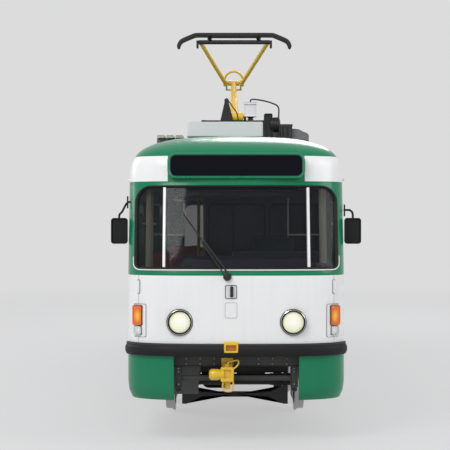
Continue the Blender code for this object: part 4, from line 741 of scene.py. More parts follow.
def build_body():
    """Front and rear ends, side walls and roof as stretches of one skin, with their openings cut."""
    skin = skin_shell()
    half = SEAT / 2
    span = END_SPLIT - half
    seams_side = [("y", s * y, 0.4, 2.6) for s in (-1, 1) for y in (4.92, 1.42)]
    seams_side += [("y", y, 0.4, 0.935) for y in (-0.7, 0.7, -5.7, 5.7)]
    look_side = [livery("side_paint", seams_side), LINING]
    look_end = [livery("end_paint", [("x", s * 0.975, 0.99, 1.72) for s in (-1, 1)]), LINING]
    roof_seams = [("x", s * 0.6, 2.84, 3.2) for s in (-1, 1)]
    roof_seams += [("y", y, 2.84, 3.2) for y in (-ROOF_SEAM, -1.7, 1.8, ROOF_SEAM)]
    look_roof = [livery("roof_paint", roof_seams), LINING]
    arches = [rounded((y - ARCH_LENGTH / 2, 0.2), (y + ARCH_LENGTH / 2, ARCH_TOP), (0.01, ARCH_RADIUS), 8)
              for y in (-BOGIE_Y, BOGIE_Y)]
    doorways = [plain_box((-1.3, b * BAY - DOORWAY_WIDTH / 2, 0.3), (-0.9, b * BAY + DOORWAY_WIDTH / 2, DOORWAY_TOP))
                for b in DOOR_BAYS]
    glazed = [b for b in range(-4, 5) if b not in DOOR_BAYS]
    for side, label, bays, more in ((1, "left", range(-4, 5), []), (-1, "right", glazed, doorways)):
        low, high = sorted((side * 0.9, side * 1.3))
        cuts = [slab(outline, low, high, 0, upright) for outline in [*map(window_outline, bays), *arches]] + more
        near, far = sorted((side * 0.5, side * 1.3))
        dress(trimmed(skin, f"wall_{label}", plain_box((near, -span, 0), (far, span, GUTTER - half)), cuts),
              look_side, "root", "green_paint", (f"side_wall_{label}",))
    for facing, name, node in ((-1, "front_shell", "front_end"), (1, "rear_shell", "rear_end")):
        near, far = sorted((facing * FAR, facing * (END_SPLIT + half)))
        apron = plain_box((-APRON_GAP, min(facing * FAR, facing * 6.5), 0),
                          (APRON_GAP, max(facing * FAR, facing * 6.5), BUMPER_LOW))
        screen = slab(screen_outline(facing), *sorted((-facing * FAR, -facing * (END_SPLIT + 0.05))))
        holes = [apron, screen]
        if facing < 0:
            holes += pair(turned(((0, 0), (LAMP_RADIUS, 0), (LAMP_RADIUS, 1.5), (0, 1.5)), (LAMP_X, -FAR, LAMP_Z),
                                 ALONG, 48))
        dress(trimmed(skin, name, plain_box((-1.3, near, 0), (1.3, far, GUTTER - half)), holes),
              look_end, "root", "white_paint", (node,))
    sign_hole = slab(inset(rounded(SIGN_LOW, SIGN_HIGH, SIGN_RADIUS, 8), -SEAT), SIGN_BACK, FAR)
    for place, near, far, holes in (("front", -FAR, -ROOF_SEAM - half, [sign_hole]), ("middle", -ROOF_SEAM + half,
            ROOF_SEAM - half, []), ("rear", ROOF_SEAM + half, FAR, [])):
        dress(trimmed(skin, f"roof_{place}_shell", plain_box((-1.3, near, GUTTER + half), (1.3, far, CROWN + 0.1)),
                      holes), look_roof, "root", "green_paint", (f"roof_{place}",))
    rail = [(0, -0.012), (0.03, -0.008), (0.033, 0.004), (0.028, 0.016), (0.01, 0.018), (0, 0.014)]
    path = [(HALF_WIDTH - 0.001, -6.1, GUTTER + 0.024), (HALF_WIDTH - 0.001, 6.1, GUTTER + 0.024)]
    piece("drip_rails", pair(swept(path, [(-u, v) for u, v in rail])), WHITE_PAINT)


build_body()


# Windows in the ends

def lower_run(outline, height):
    """The stretch of a closed outline that lies under a height, in order."""
    under = outline[:, 1] < height
    start = np.flatnonzero(under & ~np.roll(under, 1))[0]
    order = np.roll(np.arange(len(outline)), -start)
    return outline[order][under[order]]


def on_path(run, place, lift):
    """A drawn line laid on a skin, and the skin's normals there."""
    low = place(run[:, 0], run[:, 1], np.full(len(run), lift))
    high = place(run[:, 0], run[:, 1], np.full(len(run), lift + 0.01))
    return low, (high - low) / 0.01


LIP = [(-0.009, 0.001), (-0.008, 0.005), (-0.002, 0.008), (0.007, 0.006), (0.013, -0.003),
       (0.013, -0.026), (0.0008, -0.026), (0.0008, 0.001)]


def build_screens():
    """Bent panes in the ends, their rubber, the bright strip under them and the windshield's white bars."""
    for facing, label in ((-1, "windshield"), (1, "rear_window")):
        place, outline = on_end(facing), divided(screen_outline(facing), 0.03)
        piece(f"{label}_pane", slab(inset(outline, 0.0015), -0.02, -0.012, 0, place, caps=12), SCREEN_GLASS,
              replaces=(label,), angle=60)
        piece(f"{label}_rubber", band(LIP, outline, place), RUBBER, angle=50)
        run, up = on_path(lower_run(inset(outline, -0.0155), SCREEN_LOW + 0.13), place, 0.002)
        strip = [(-0.006, -0.001), (-0.005, 0.004), (0, 0.006), (0.005, 0.004), (0.006, -0.001)]
        piece(f"{label}_strip", swept(run, strip, up), WHITE_PAINT)
    bars = []
    for x in (-0.72, 0.72):
        line = divided(rounded((x - 0.0125, SCREEN_LOW + 0.014), (x + 0.0125, SCREEN_HIGH - 0.012), 0.002, 1), 0.04)
        bars.append(slab(line, -0.03, 0.004, 0.003, on_end(-1), 2))
    piece("windshield_bars", bars, WHITE_PAINT)


build_screens()


# Side windows

def build_side_windows():
    """Panes with rubber round them, a bright bar under each top light, and the board inside below them."""
    for side, bays, node in ((1, range(-4, 5), "side_windows_left"), (-1, (-3, -2, -1), "side_windows_right_front"),
                             (-1, (1, 2, 3), "side_windows_right_rear")):
        place = on_side(side)
        panes, rubbers, bars, grips = [], [], [], []
        for b in bays:
            middle, reach, outline = b * BAY, WINDOW_WIDTH / 2, window_outline(b)
            panes.append(slab(inset(outline, 0.0015), -0.026, -0.018, 0, place))
            rubbers.append(band([(d, h * 0.8) for d, h in LIP], outline, place))
            rail = rounded((middle - reach + 0.018, 2.165), (middle + reach - 0.018, 2.19), 0.004, 2)
            bars.append(slab(rail, -0.034, -0.008, 0.003, place, 2))
            for step in (-0.18, 0.18):
                catch = rounded((middle + step - 0.03, 2.196), (middle + step + 0.03, 2.216), 0.006, 3)
                grips.append(slab(catch, -0.044, -0.027, 0.003, place, 2))
        first, last = bays[0] * BAY - WINDOW_WIDTH / 2, bays[-1] * BAY + WINDOW_WIDTH / 2
        x0, x1 = sorted((side * 0.99, side * 1.0497))
        row = node.removeprefix("side_windows")
        piece(f"side_panes{row}", panes, SIDE_GLASS, replaces=(node,))
        piece(f"window_rubbers{row}", rubbers, RUBBER, angle=50)
        piece(f"vent_bars{row}", bars, TRIM, slot="grey_steel")
        piece(f"vent_catches{row}", grips, RUBBER)
        piece(f"window_boards{row}", block((x0, first, 1.62), (x1, last, 1.665), 0.01), LINING, slot="grey_plastic")


build_side_windows()


# Front and rear fittings

def build_bumpers():
    """Black bumpers that follow the ends' plan, a paler strip along the top that is a painted highlight, and the yellow
    coupling pocket with painted shade on its inside.
    """
    width, length, depth = hull_at(0.99)
    plan = end_plan(width, length, depth, 40)
    plan = plan[plan[:, 1] >= 6.56]
    level = (BUMPER_LOW + BUMPER_HIGH) / 2
    half = (BUMPER_HIGH - BUMPER_LOW) / 2
    path = np.column_stack((plan, np.full(len(plan), level)))
    turn = np.linspace(-pi / 2, pi / 2, 7)
    face = [(-(0.03 + 0.01 * cos(a)), (half - 0.022) * sin(a) * 0.96 - 0.01) for a in turn]
    rubbing = swept(path, [(-0.0004, -half), (-0.026, -half), *face, (-0.026, half - 0.024), (-0.0004, half - 0.024)])
    # The top strip takes the lighter rubber: a painted highlight along the bumper's top.
    cover = swept(path, [(-0.0004, half - 0.0235), (-0.024, half - 0.0235), (-0.027, half - 0.018),
                         (-0.025, half - 0.004), (-0.02, half), (-0.0004, half)])
    piece("bumper_rear_rubber", rubbing, RUBBER, replaces=("bumper_rear",))
    piece("bumper_rear_highlight_strip", cover, HIGHLIGHT_RUBBER)
    x0, x1, z0, whole = POCKET_LEFT, POCKET_RIGHT, POCKET_LOW, plain_box((-1.4, -7.2, 0.8), (1.4, -6.0, 1.1))
    notch = plain_box((x0 - SEAT, -FAR, z0 - SEAT), (x1 + SEAT, -POCKET_BACK, 1.05))
    for name, part, look, node in (("bumper_front_rubber", rubbing, RUBBER, ("bumper_front",)), ("bumper_front_highlight_strip",
            cover, HIGHLIGHT_RUBBER, ())):
        dress(trimmed(mesh_of(name, [half_turn(part)]), name, whole, [notch]), look, replaces=node)
    mouth = between(rounded((x0, z0), (x1, z0 + 0.108), 0.01, 4), rounded((x0 + 0.019, z0 + 0.018),
            (x1 - 0.019, z0 + 0.076), 0.004, 4), POCKET_BACK + SEAT, 6.9985, 0.004)
    piece("pocket_case", mouth, YELLOW_PAINT, replaces=("coupling_pocket",))
    # The back of the pocket takes the darker yellow: painted shade inside the recess.
    inside = rounded((x0 + 0.017, z0 + 0.016), (x1 - 0.017, z0 + 0.078), 0.006, 3)
    piece("pocket_inside", slab(inside, POCKET_BACK + SEAT, 6.972, 0.002), POCKET_SHADE_PAINT)


def build_sign():
    """The destination box: a rounded green frame round a dark blank pane."""
    outer, inner = rounded(SIGN_LOW, SIGN_HIGH, SIGN_RADIUS, 8), rounded((-0.662, 2.651), (0.662, 2.859), 0.058, 8)
    piece("sign_frame", between(outer, inner, SIGN_BACK + SEAT, SIGN_FACE, 0.009), GREEN_PAINT,
          replaces=("destination_box",))
    glass_face = SIGN_FACE - 0.014
    piece("sign_pane", slab(inset(inner, -0.002), 6.64, glass_face, 0.003), SIGN_GLASS)
    piece("sign_rubber", band([(0, 0), (0, 0.006), (0.004, 0.007), (0.007, 0.003), (0.007, -0.002)], inner,
                              lambda u, v, w: straight(u, v, w + glass_face)), RUBBER)


AMBER = lamp("amber_lens", (0.7, 0.125, 0.004), (1.0, 0.62, 0.02), 0.1, 0.012, 1, (0.985, 1.255, 0.04, 0.075),
             (0.98, 0.52, 0.02))
CLEAR = lamp("clear_lens", (0.6, 0.61, 0.62), (0.7, 0.7, 0.7), 0.02, 0.01, 0, (0.975, 1.111, 0.03, 0.04),
             (0.8, 0.8, 0.8))
RED = lamp("red_lens", (0.45, 0.012, 0.01), (0.9, 0.02, 0.01), 0.08, 0.012, 1, (0.8, 1.27, 0.05, 0.07),
           (0.62, 0.02, 0.015))
BEAM = lamp("beam_lens", (0.86, 0.86, 0.58), (1.0, 0.99, 0.9), 0.12, 0.022, 0, (0.56, 1.2, 0.105, 0.105),
            (0.92, 0.92, 0.88))
# A darker copy of the yellow paint for the back of the coupling pocket: painted shade in the recess.
POCKET_SHADE_PAINT = enamel("pocket_shade_enamel", (0.5, 0.17, 0.004), 0.4, 0.2, 0.1)
BLACK = steel("black_enamel_look", (0.01, 0.01, 0.011), 0.35, 0.1, 0.1)
CHROME = steel("chrome_look", (0.66, 0.67, 0.68), 0.16, 1.0, 0.03, 150)


def build_lamps():
    """Headlights turned about their axes, and upright corner and tail lamps that follow the skin."""
    reach = float(end_skin(LAMP_X, LAMP_Z))
    rims = (
        ("rim", BLACK, ((0.1322, -0.03), (0.1322, 0.01), (0.1305, 0.018), (0.1275, 0.019), (0.1262, -0.03))),
        ("bezel", CHROME, ((0.126, -0.03), (0.126, 0.02), (0.124, 0.027), (0.1195, 0.03), (0.1172, 0.025),
                           (0.117, -0.03))),
        ("gasket", RUBBER, ((0.1168, -0.03), (0.1168, 0.022), (0.114, 0.028), (0.107, 0.027), (0.1042, 0.018),
                            (0.104, -0.03))),
    )
    lens = [(r, 0.026 - 0.014 * (r / 0.1) ** 2) for r in np.linspace(0, 0.1038, 9)] + [(0.1038, -0.03), (0, -0.03)]
    shell = [(0, -0.1), (0.085, -0.092), (0.12, -0.06), (0.13, -0.031), (0, -0.031)]
    for label, x in (("left", LAMP_X), ("right", -LAMP_X)):
        centre = (x, -reach, LAMP_Z)
        for part, look, profile in rims:
            piece(f"headlight_{label}_{part}", turned(profile, centre, AHEAD, 64), look)
        piece(f"headlight_{label}_lens", turned(lens, centre, AHEAD, 64), BEAM,
              replaces=(f"headlight_{label}",), angle=60)
        piece(f"headlight_{label}_shell", turned(shell, centre, AHEAD, 32), BLACK, slot="dark_steel")

    def stacked(label, facing, x, *plates):
        """Plates laid over each other on both sides: part, look, low, high, width and lift of each."""
        for part, look, low, high, width, lift in plates:
            outline = divided(rounded((x - width / 2, low), (x + width / 2, high), min(0.016, width / 3), 4), 0.03)
            sides = [slab(drawn, 0.0004, lift, min(0.008, lift / 2), on_end(facing), 3, 3)
                     for drawn in (outline, (outline * (-1, 1))[::-1])]
            piece(f"{label}_{part}", sides, look)

    stacked("corner_lamp", -1, 0.96, ("seam", GREY_STEEL, 1.046, 1.376, 0.128, 0.0035),
            ("plate", WHITE_PAINT, 1.049, 1.373, 0.122, 0.006))
    stacked("corner_lens", -1, 0.975, ("amber_seat", BLACK, 1.159, 1.363, 0.09, 0.016),
            ("amber", AMBER, 1.163, 1.359, 0.082, 0.03), ("clear_seat", GREY_STEEL, 1.064, 1.158, 0.078, 0.013),
            ("clear", CLEAR, 1.068, 1.154, 0.07, 0.024))
    stacked("tail_lamp", 1, 0.8, ("plate", BLACK, 1.044, 1.356, 0.128, 0.005),
            ("red", RED, 1.196, 1.345, 0.108, 0.028), ("amber", AMBER, 1.055, 1.186, 0.108, 0.026))
    stacked("hinge_cover", -1, 0.975, ("seat", GREY_STEEL, 1.478, 1.616, 0.032, 0.004),
            ("cap", WHITE_PAINT, 1.482, 1.612, 0.026, 0.012))


def build_front_panel():
    """The recessed grip and the small flap in the middle of the front."""
    place = on_end(-1)
    grip = rounded((-0.113, 1.432), (0.005, 1.569), 0.014, 4)
    flap = rounded((-0.11, 1.245), (0.004, 1.392), 0.016, 4)
    rim = [(0, 0.0004), (0, 0.004), (0.002, 0.006), (0.006, 0.006), (0.008, 0.004), (0.008, 0.0004)]
    piece("grip_rim", band(rim, divided(grip, 0.03), place), GREY_STEEL)
    piece("grip_cup", slab(inset(grip, 0.022), 0.0006, 0.003, 0.001, place), LIGHT_GREY)
    handle = rounded((-0.062, 1.446), (-0.032, 1.556), 0.012, 4)
    piece("grip_bar", slab(handle, 0.004, 0.022, 0.006, place), BLACK)
    piece("flap", slab(divided(flap, 0.03), 0.0006, 0.005, 0.0018, place, 3, 3), WHITE_PAINT)
    piece("flap_seam", band([(-0.003, 0.0002), (-0.003, 0.0014), (0.001, 0.0014), (0.001, 0.0002)],
                            divided(flap, 0.03), place), GREY_STEEL)


def build_wiper():
    """A pantograph wiper parked to the left: two arms from a pivot cap under the glass, and a blade on a bow."""
    place = on_end(-1)

    def run(start, end, lifts, count=18):
        u = np.linspace(start[0], end[0], count)
        v = np.linspace(start[1], end[1], count)
        return place(u, v, np.interp(np.linspace(0, 1, count), np.linspace(0, 1, len(lifts)), lifts))

    pivot, knuckle, tip, heel = np.array(((-0.09, 1.65), (-0.33, 1.99), (-0.53, 2.27), (-0.165, 1.76)))
    spindle = place(*pivot[:, None], np.zeros(1))[0]
    cap = turned(((0, -0.004), (0.04, -0.004), (0.042, 0.02), (0.034, 0.036), (0.016, 0.042), (0, 0.043)), spindle,
                 (0, -1, 0.03), 32)
    arms = [pipe(run(pivot + (0.012, 0.016), knuckle + (0.008, 0.004), (0.03, 0.05, 0.046)), 0.0085, 10, AHEAD),
            pipe(run(pivot + (-0.02, 0), knuckle + (-0.014, -0.012), (0.03, 0.05, 0.046)), 0.0065, 10, AHEAD)]
    holder = pipe(run(tip * 0.75 + heel * 0.25, tip * 0.22 + heel * 0.78, (0.026, 0.042, 0.026)), 0.0065, 8, AHEAD)
    knuckle_at = place(*knuckle[:, None], np.full(1, 0.03))[0]
    joint = turned(((0, 0), (0.016, 0), (0.016, 0.026), (0, 0.028)), knuckle_at, (0, -1, 0.27), 20)
    piece("wiper_arms", [cap, *arms, holder, joint], BLACK, replaces=("wiper",))
    blade = swept(run(tip, heel, (0.014, 0.014)), [(-0.004, -0.01), (0.004, -0.01), (0.007, 0.006), (0.004, 0.012),
            (-0.004, 0.012), (-0.007, 0.006)], (0, -1, 0.27))
    piece("wiper_blade", blade, RUBBER)


def build_mirrors():
    """Mirror heads with a glass that faces back, on bent arms: a level one on the left, a sloping one on the right."""
    mirror_glass = Look("mirror_glass", (0.8, 0.82, 0.84), 0.02, 1.0)
    haze = mirror_glass.noise(9, 2)
    silver = mirror_glass.done(Roughness=haze * 0.03 + 0.01)
    for label, side in (("left", 1), ("right", -1)):
        x, y, z = side * MIRROR_X, MIRROR_Y, MIRROR_Z
        head = slab(rounded((x - 0.085, z - 0.1325), (x + 0.085, z + 0.1325), 0.03, 6), -y - 0.025, -y + 0.025, 0.016,
                    straight, 5)
        foot = side * 1.101
        if side > 0:
            route = ((foot, y, 2.312), (foot + 0.045, y, 2.314), (x - 0.022, y, 2.308), (x, y, 2.275), (x, y, 2.205))
        else:
            route = ((foot + 0.02, y, 2.4), (foot - 0.02, y, 2.38), (x + 0.03, y, 2.3), (x, y, 2.262), (x, y, 2.205))
        arm = pipe(curve(route, 40), 0.011, 12, ALONG)
        plate = block(*[(a, y - 0.022, b) for a, b in zip(sorted((foot - side * 0.0002, foot + side * 0.016)),
                ((2.25, 2.37) if side > 0 else (2.33, 2.455)))], 0.006)
        piece(f"mirror_{label}_case", [head, arm, plate], RUBBER, replaces=(f"mirror_{label}",), angle=50)
        face = rounded((x - 0.072, z - 0.12), (x + 0.072, z + 0.12), 0.022, 6)
        piece(f"mirror_{label}_glass", slab(face, -y - 0.0285, -y - 0.0235, 0.001), silver, slot="glass")


def build_couplers():
    """Folded couplers: head and swung bar, the square face ring, its lifting loops and the plate on the beam."""
    y = -6.9168

    def bow(*points):
        path = [(x, y, z) for x, z in (*points, points[0])]
        return pipe(curve(path, 48)[:-1], 0.0085, 10, ALONG, closed=True)

    head = turned(((0, 0), (0.03, 0), (0.046, 0.01), (0.056, 0.022), (0.056, 0.09), (0.048, 0.108), (0.048, 0.15),
                   (0, 0.15)), (-0.272, -6.9, 0.6825), ACROSS, 28)
    ring = between(rounded((-0.156, 0.612), (-0.026, 0.758), 0.014, 4),
                   rounded((-0.128, 0.642), (-0.054, 0.728), 0.01, 4), 6.868, 6.9385, 0.006)
    core = slab(rounded((-0.13, 0.64), (-0.052, 0.73), 0.008, 4), 6.86, 6.92, 0.004)
    stem = block((-0.135, -6.892, 0.6), (-0.045, -6.826, 0.79), 0.012)
    plate = block((-0.15, -6.826, 0.76), (-0.03, -6.8003, 0.84), 0.006)
    upper = bow((-0.096, 0.735), (-0.084, 0.795), (-0.06, 0.812), (0.008, 0.824), (0.022, 0.804), (0.006, 0.77),
                (-0.036, 0.738))
    lower = bow((-0.126, 0.636), (-0.136, 0.57), (-0.124, 0.53), (-0.104, 0.518), (-0.06, 0.518), (-0.04, 0.532),
                (-0.032, 0.57), (-0.044, 0.636))
    eye = turned(((0.01, -0.006), (0.018, -0.006), (0.018, 0.006), (0.01, 0.006)), (-0.093, y - 0.018, 0.762), ALONG,
                 20)
    pin = bar((-0.09, -6.859, 0.535), (-0.09, -6.859, 0.62), 0.028, 20, edge=0.004)
    parts = [head, ring, core, stem, plate, upper, lower, eye, pin]
    piece("coupler_front_body", parts, YELLOW_PAINT, replaces=("coupler_front",), angle=40)
    piece("coupler_rear_body", [half_turn(part) for part in parts], YELLOW_PAINT, replaces=("coupler_rear",), angle=40)


for build in (build_bumpers, build_sign, build_lamps, build_front_panel, build_wiper, build_mirrors, build_couplers):
    build()


# Doors

LEAF_THICK, LEAF_SPAN, LEAF_END, JAMB_CLEAR, FOLD_CLEAR = 0.035, 0.296, 0.02, 0.012, 0.006
LEAF_LOW, LEAF_HIGH, LEAF_GLASS_LOW, LEAF_GLASS_HIGH, LEAF_FRAME = 0.445, 2.44, 0.78, 2.3, 0.045
LEAF_LIP = ((-0.008, 0.0004), (-0.007, 0.004), (0.006, 0.004), (0.01, -0.002), (0.01, -0.03), (0.001, -0.03),
            (0.001, 0.0004))
DOOR_PLANE = -(HALF_WIDTH - 0.035 - LEAF_THICK / 2)


def build_doors():
    """Folding leaves: a bevelled frame round a tall rubber-set pane, strap hinges and a grab bar."""
    paint = livery("door_paint")
    wall = frame_of((0, 0, 0), AHEAD, UP)              # drawn in -y and z, out along -X
    face = -DOOR_PLANE
    for bay, place in zip(DOOR_BAYS, ("front", "middle", "rear")):
        for end, hand in ((-1, "a"), (1, "b")):
            inward = -end
            pivot = bay * BAY + end * DOORWAY_WIDTH / 2 + inward * (JAMB_CLEAR + LEAF_END)
            fold = pivot + inward * LEAF_SPAN
            guide = fold + inward * LEAF_SPAN
            spans = ((pivot - inward * LEAF_END, fold - inward * FOLD_CLEAR), (fold + inward * FOLD_CLEAR,
                    guide + inward * LEAF_END))
            for number, span in enumerate(spans):
                body = f"door_{place}_{hand}{number + 1}"
                first, last = sorted(-s for s in span)
                outer = rounded((first, LEAF_LOW), (last, LEAF_HIGH), 0.006, 5)
                hole = rounded((first + LEAF_FRAME, LEAF_GLASS_LOW), (last - LEAF_FRAME, LEAF_GLASS_HIGH), 0.03, 5)
                low, high = face - LEAF_THICK / 2, face + LEAF_THICK / 2
                parts = [between(outer, hole, low, high, 0.004, wall)]
                press = rounded((first + 0.05, 0.5), (last - 0.05, 0.735), 0.018, 5)
                parts.append(slab(press, high - 0.001, high + 0.0035, 0.003, wall))
                piece(f"{body}_leaf", parts, paint, body, "green_paint", (body,))
                piece(f"{body}_pane", slab(inset(hole, 0.001), face - 0.003, face + 0.003, 0, wall), SIDE_GLASS, body)
                seal = band(LEAF_LIP, hole, lambda u, v, w: wall(u, v, w + high))
                piece(f"{body}_rubber", seal, RUBBER, body, angle=50)
                straps = []
                for height in (0.62, 1.465, 2.31):
                    start = height + number * 0.0603
                    towards = -inward if number == 0 else inward
                    across = sorted((-(fold - towards * 0.003), -(fold + towards * 0.024)))
                    straps.append(slab(rounded((across[0], start), (across[1], start + 0.06), 0.003, 3), high - 0.001,
                                       high + 0.004, 0.0015, wall))
                piece(f"{body}_straps", straps, GREY_STEEL, body)
                if number == 1:
                    grip_y = -(guide - inward * 0.02)
                    path = np.array([wall(np.array(grip_y), np.array(v), np.array(w)) for v, w in ((1.2, low + 0.001),
                            (1.2, low - 0.034), (1.215, low - 0.04), (1.685, low - 0.04), (1.7, low - 0.034),
                            (1.7, low + 0.001))])
                    piece(f"{body}_grab", pipe(curve(path, 40), 0.011, 10, ALONG), YELLOW_PAINT, body, "rail_yellow")


build_doors()


# Running gear

FLANGE, AXLE_RADIUS, AXLE_END = 0.36, 0.07, 0.815
WHEELBASE = 1.9

TREAD = steel("tread_look", (0.42, 0.4, 0.38), 0.28, 0.9, 0.15, 20)
CAST = steel("cast_look", (0.03, 0.028, 0.026), 0.7, 0.3, 0.3, 30)
WARM = steel("spring_look", (0.05, 0.046, 0.043), 0.5, 0.4, 0.4, 60)


def hexes(centres, out, size, height):
    """Hexagonal bolt heads at these points, standing out along a direction."""
    return [turned(((0, -0.001), (size, -0.001), (size, height * 0.8), (size * 0.82, height), (0, height)), c, out, 6)
            for c in centres]


def wheel_set(name, y):
    """A turned axle, and on each side a web with its bolts and a rolled tyre with flange and tread."""
    origin, tyres, webs, bolts = (0, y, FLANGE), [], [], []
    tyre = ((0.285, 0.689), (0.35, 0.687), (0.358, 0.691), (0.36, 0.698), (0.357, 0.706), (0.348, 0.714),
            (0.341, 0.722), (0.3388, 0.734), (0.3372, 0.782), (0.334, 0.792), (0.329, 0.795), (0.291, 0.795),
            (0.285, 0.79))
    web = ((0.0702, 0.706), (0.115, 0.706), (0.13, 0.722), (0.24, 0.73), (0.262, 0.712), (0.2848, 0.708),
           (0.2848, 0.772), (0.262, 0.77), (0.245, 0.756), (0.14, 0.752), (0.12, 0.766), (0.112, 0.788),
           (0.104, 0.794), (0.0702, 0.794))
    for side in (-1, 1):
        tyres.append(turned(tyre, origin, (side, 0, 0), 72))
        webs.append(turned(web, origin, (side, 0, 0), 48))
        for count, radius, at, size in ((12, 0.268, 0.77, 0.01), (6, 0.096, 0.793, 0.009)):
            ring = circle(radius, count)
            bolts += hexes([(side * at, y + a, FLANGE + b) for a, b in ring], (side, 0, 0), size, 0.009)
        bolts += hexes([(side * 0.8135, y + a, FLANGE + b) for a, b in circle(0.034, 3)], (side, 0, 0), 0.01, 0.01)
    shaft = turned(((0, -AXLE_END), (0.06, -AXLE_END), (0.068, -0.806), (AXLE_RADIUS, -0.7), (AXLE_RADIUS, -0.42),
                    (0.064, -0.4), (0.064, 0.4), (AXLE_RADIUS, 0.42), (AXLE_RADIUS, 0.7), (0.068, 0.806),
                    (0.06, AXLE_END), (0, AXLE_END)), origin, ACROSS, 40)
    piece(f"{name}_tyres", tyres, TREAD, name, "wheel_steel", (name,))
    piece(f"{name}_axle", shaft, CAST, name, "wheel_steel")
    piece(f"{name}_webs", webs, CAST, name, "wheel_steel")
    piece(f"{name}_bolts", bolts, GREY_STEEL, name, "wheel_steel")


def coil(start, end, radius, wire, turns):
    """A helical spring between two points on an upright line."""
    t = np.linspace(0, 1, int(turns * 14) + 1)
    turn = TAU * turns * t
    path = np.stack((start[0] + radius * np.cos(turn), start[1] + radius * np.sin(turn),
                     start[2] + (end[2] - start[2]) * t), -1)
    return pipe(path, wire, 6)


def bogie(place, end):
    """Box beams, bolster, motors with ribs, bearings, rail brakes on springs, and a lifeguard."""
    y, body = end * BOGIE_Y, f"bogie_{place}"
    reach = WHEELBASE / 2 + 0.2
    frame_parts = pair(block((0.445, y - reach, 0.46), (0.555, y + reach, 0.59), 0.016))
    frame_parts += pair(block((0.438, y - reach + 0.02, 0.586), (0.562, y + reach - 0.02, 0.598), 0.004))
    frame_parts.append(block((-0.5, y - 0.15, 0.465), (0.5, y + 0.15, 0.61), 0.02))
    frame_parts.append(turned(((0, 0.48), (0.16, 0.48), (0.17, 0.49), (0.17, 0.626), (0.16, 0.634), (0.13, 0.636),
                               (0.126, 0.6398), (0, 0.6398)), (0, y, 0), UP, 48))
    bearings, motors, ribs, fittings, bolts, springs = [], [], [], [], [], []
    for step in (-1, 1):
        axle_y = y + step * WHEELBASE / 2
        for x in (-0.5, 0.5):
            bearings.append(boss((x, axle_y, FLANGE), 0.046, 0.108, (0.008, 0.008), sides=36, bore=0.0752))
            bearings.append(slab(((axle_y - 0.115, 0.47), (axle_y - 0.085, 0.425), (axle_y + 0.085, 0.425),
                                  (axle_y + 0.115, 0.47)), x - 0.045, x + 0.045, 0.006, upright))
            ring = circle(0.092, 8, start=0.4)
            bolts += hexes([(x + 0.046 * copysign(1, x), axle_y + a, FLANGE + b) for a, b in ring], (x, 0, 0),
                           0.008, 0.008)
        motor_y, motor_x = y + step * 0.47, step * 0.21
        low, high = (motor_x - 0.17, motor_y - 0.26, 0.235), (motor_x + 0.17, motor_y + 0.26, 0.565)
        motors.append(slab(rounded((low[0], low[2]), (high[0], high[2]), 0.08, 6), -high[1], -low[1], 0.02))
        for i in range(9):
            at = low[1] + 0.06 + i * 0.05
            ribs.append(slab(rounded((low[0] - 0.008, low[2] - 0.008), (high[0] + 0.008, high[2] + 0.008), 0.086, 6),
                             -at - 0.006, -at + 0.006, 0.002))
        motors.append(block((-0.5, motor_y - 0.05, 0.48), (0.5, motor_y + 0.05, 0.57), 0.012))
        motors.append(bar((motor_x - 0.11, motor_y, 0.4), (motor_x - 0.11, motor_y + step * 0.33, 0.365), 0.075, 24,
                          0.06, 0.01))
    for side in (-1, 1):
        x = side * 0.74
        springs.append(block((x - 0.032, y - 0.3, 0.075), (x + 0.032, y + 0.3, 0.148), 0.012))
        for i in range(5):
            at = y - 0.264 + i * 0.132
            springs.append(block((x - 0.035, at - 0.056, 0.041), (x + 0.035, at + 0.056, 0.082), 0.006))
        for step in (-1, 1):
            springs.append(slab(((y + step * 0.3, 0.045), (y + step * 0.33, 0.075), (y + step * 0.33, 0.12),
                    (y + step * 0.296, 0.14))[::step], x - 0.03, x + 0.03, 0.004, upright))
            hanger = y + step * 0.231
            near, far = sorted((side * 0.5, side * 0.76))
            fittings.append(block((near, hanger - 0.025, 0.48), (far, hanger + 0.025, 0.53), 0.008))
            fittings.append(bar((x, hanger, 0.12), (x, hanger, 0.5), 0.013, 12))
            fittings.append(bar((x, hanger, 0.146), (x, hanger, 0.166), 0.036, 20))
            springs.append(coil((x, hanger, 0.17), (x, hanger, 0.478), 0.027, 0.0055, 8))
    guard_y = y + end * 1.44
    arms = sorted((y + end * (reach - 0.05), guard_y))
    fittings += pair(block((0.47, arms[0], 0.49), (0.53, arms[1], 0.54), 0.01))
    fittings.append(block((-0.6, guard_y - 0.025, 0.485), (0.6, guard_y + 0.025, 0.545), 0.01))
    half_board = ((-0.6, 0.13), (-0.55, 0.13), (-0.37, 0.21), (0.37, 0.21), (0.55, 0.13), (0.6, 0.13),
                  (0.6, 0.34), (0.54, 0.34), (0.4, 0.27), (-0.4, 0.27), (-0.54, 0.34), (-0.6, 0.34))
    guard = slab(half_board, -guard_y - 0.015, -guard_y + 0.015, 0.003)
    fittings += pair(block((0.55, guard_y - 0.012, 0.32), (0.59, guard_y + 0.012, 0.5), 0.004))
    piece(f"{body}_frame", [*frame_parts, *bearings], DARK_STEEL, body, None, (body,))
    piece(f"{body}_motors", [*motors, *ribs], CAST, body, "dark_steel")
    piece(f"{body}_brakes", springs, WARM, body, "dark_steel")
    piece(f"{body}_fittings", fittings, DARK_STEEL, body)
    piece(f"{body}_guard", guard, BLACK, body, "dark_steel")
    piece(f"{body}_bolts", bolts, GREY_STEEL, body)


for end, place in ((-1, "front"), (1, "rear")):
    bogie(place, end)
    for step, which in ((-1, "a"), (1, "b")):
        wheel_set(f"wheels_{place}_{which}", end * BOGIE_Y + step * WHEELBASE / 2)


# Underframe

FLOOR_UNDER, BOLSTER = 0.86 - SEAT, 0.64
BUFFER_GREY = steel("beam_look", (0.034, 0.035, 0.037), 0.55, 0.2, 0.15)


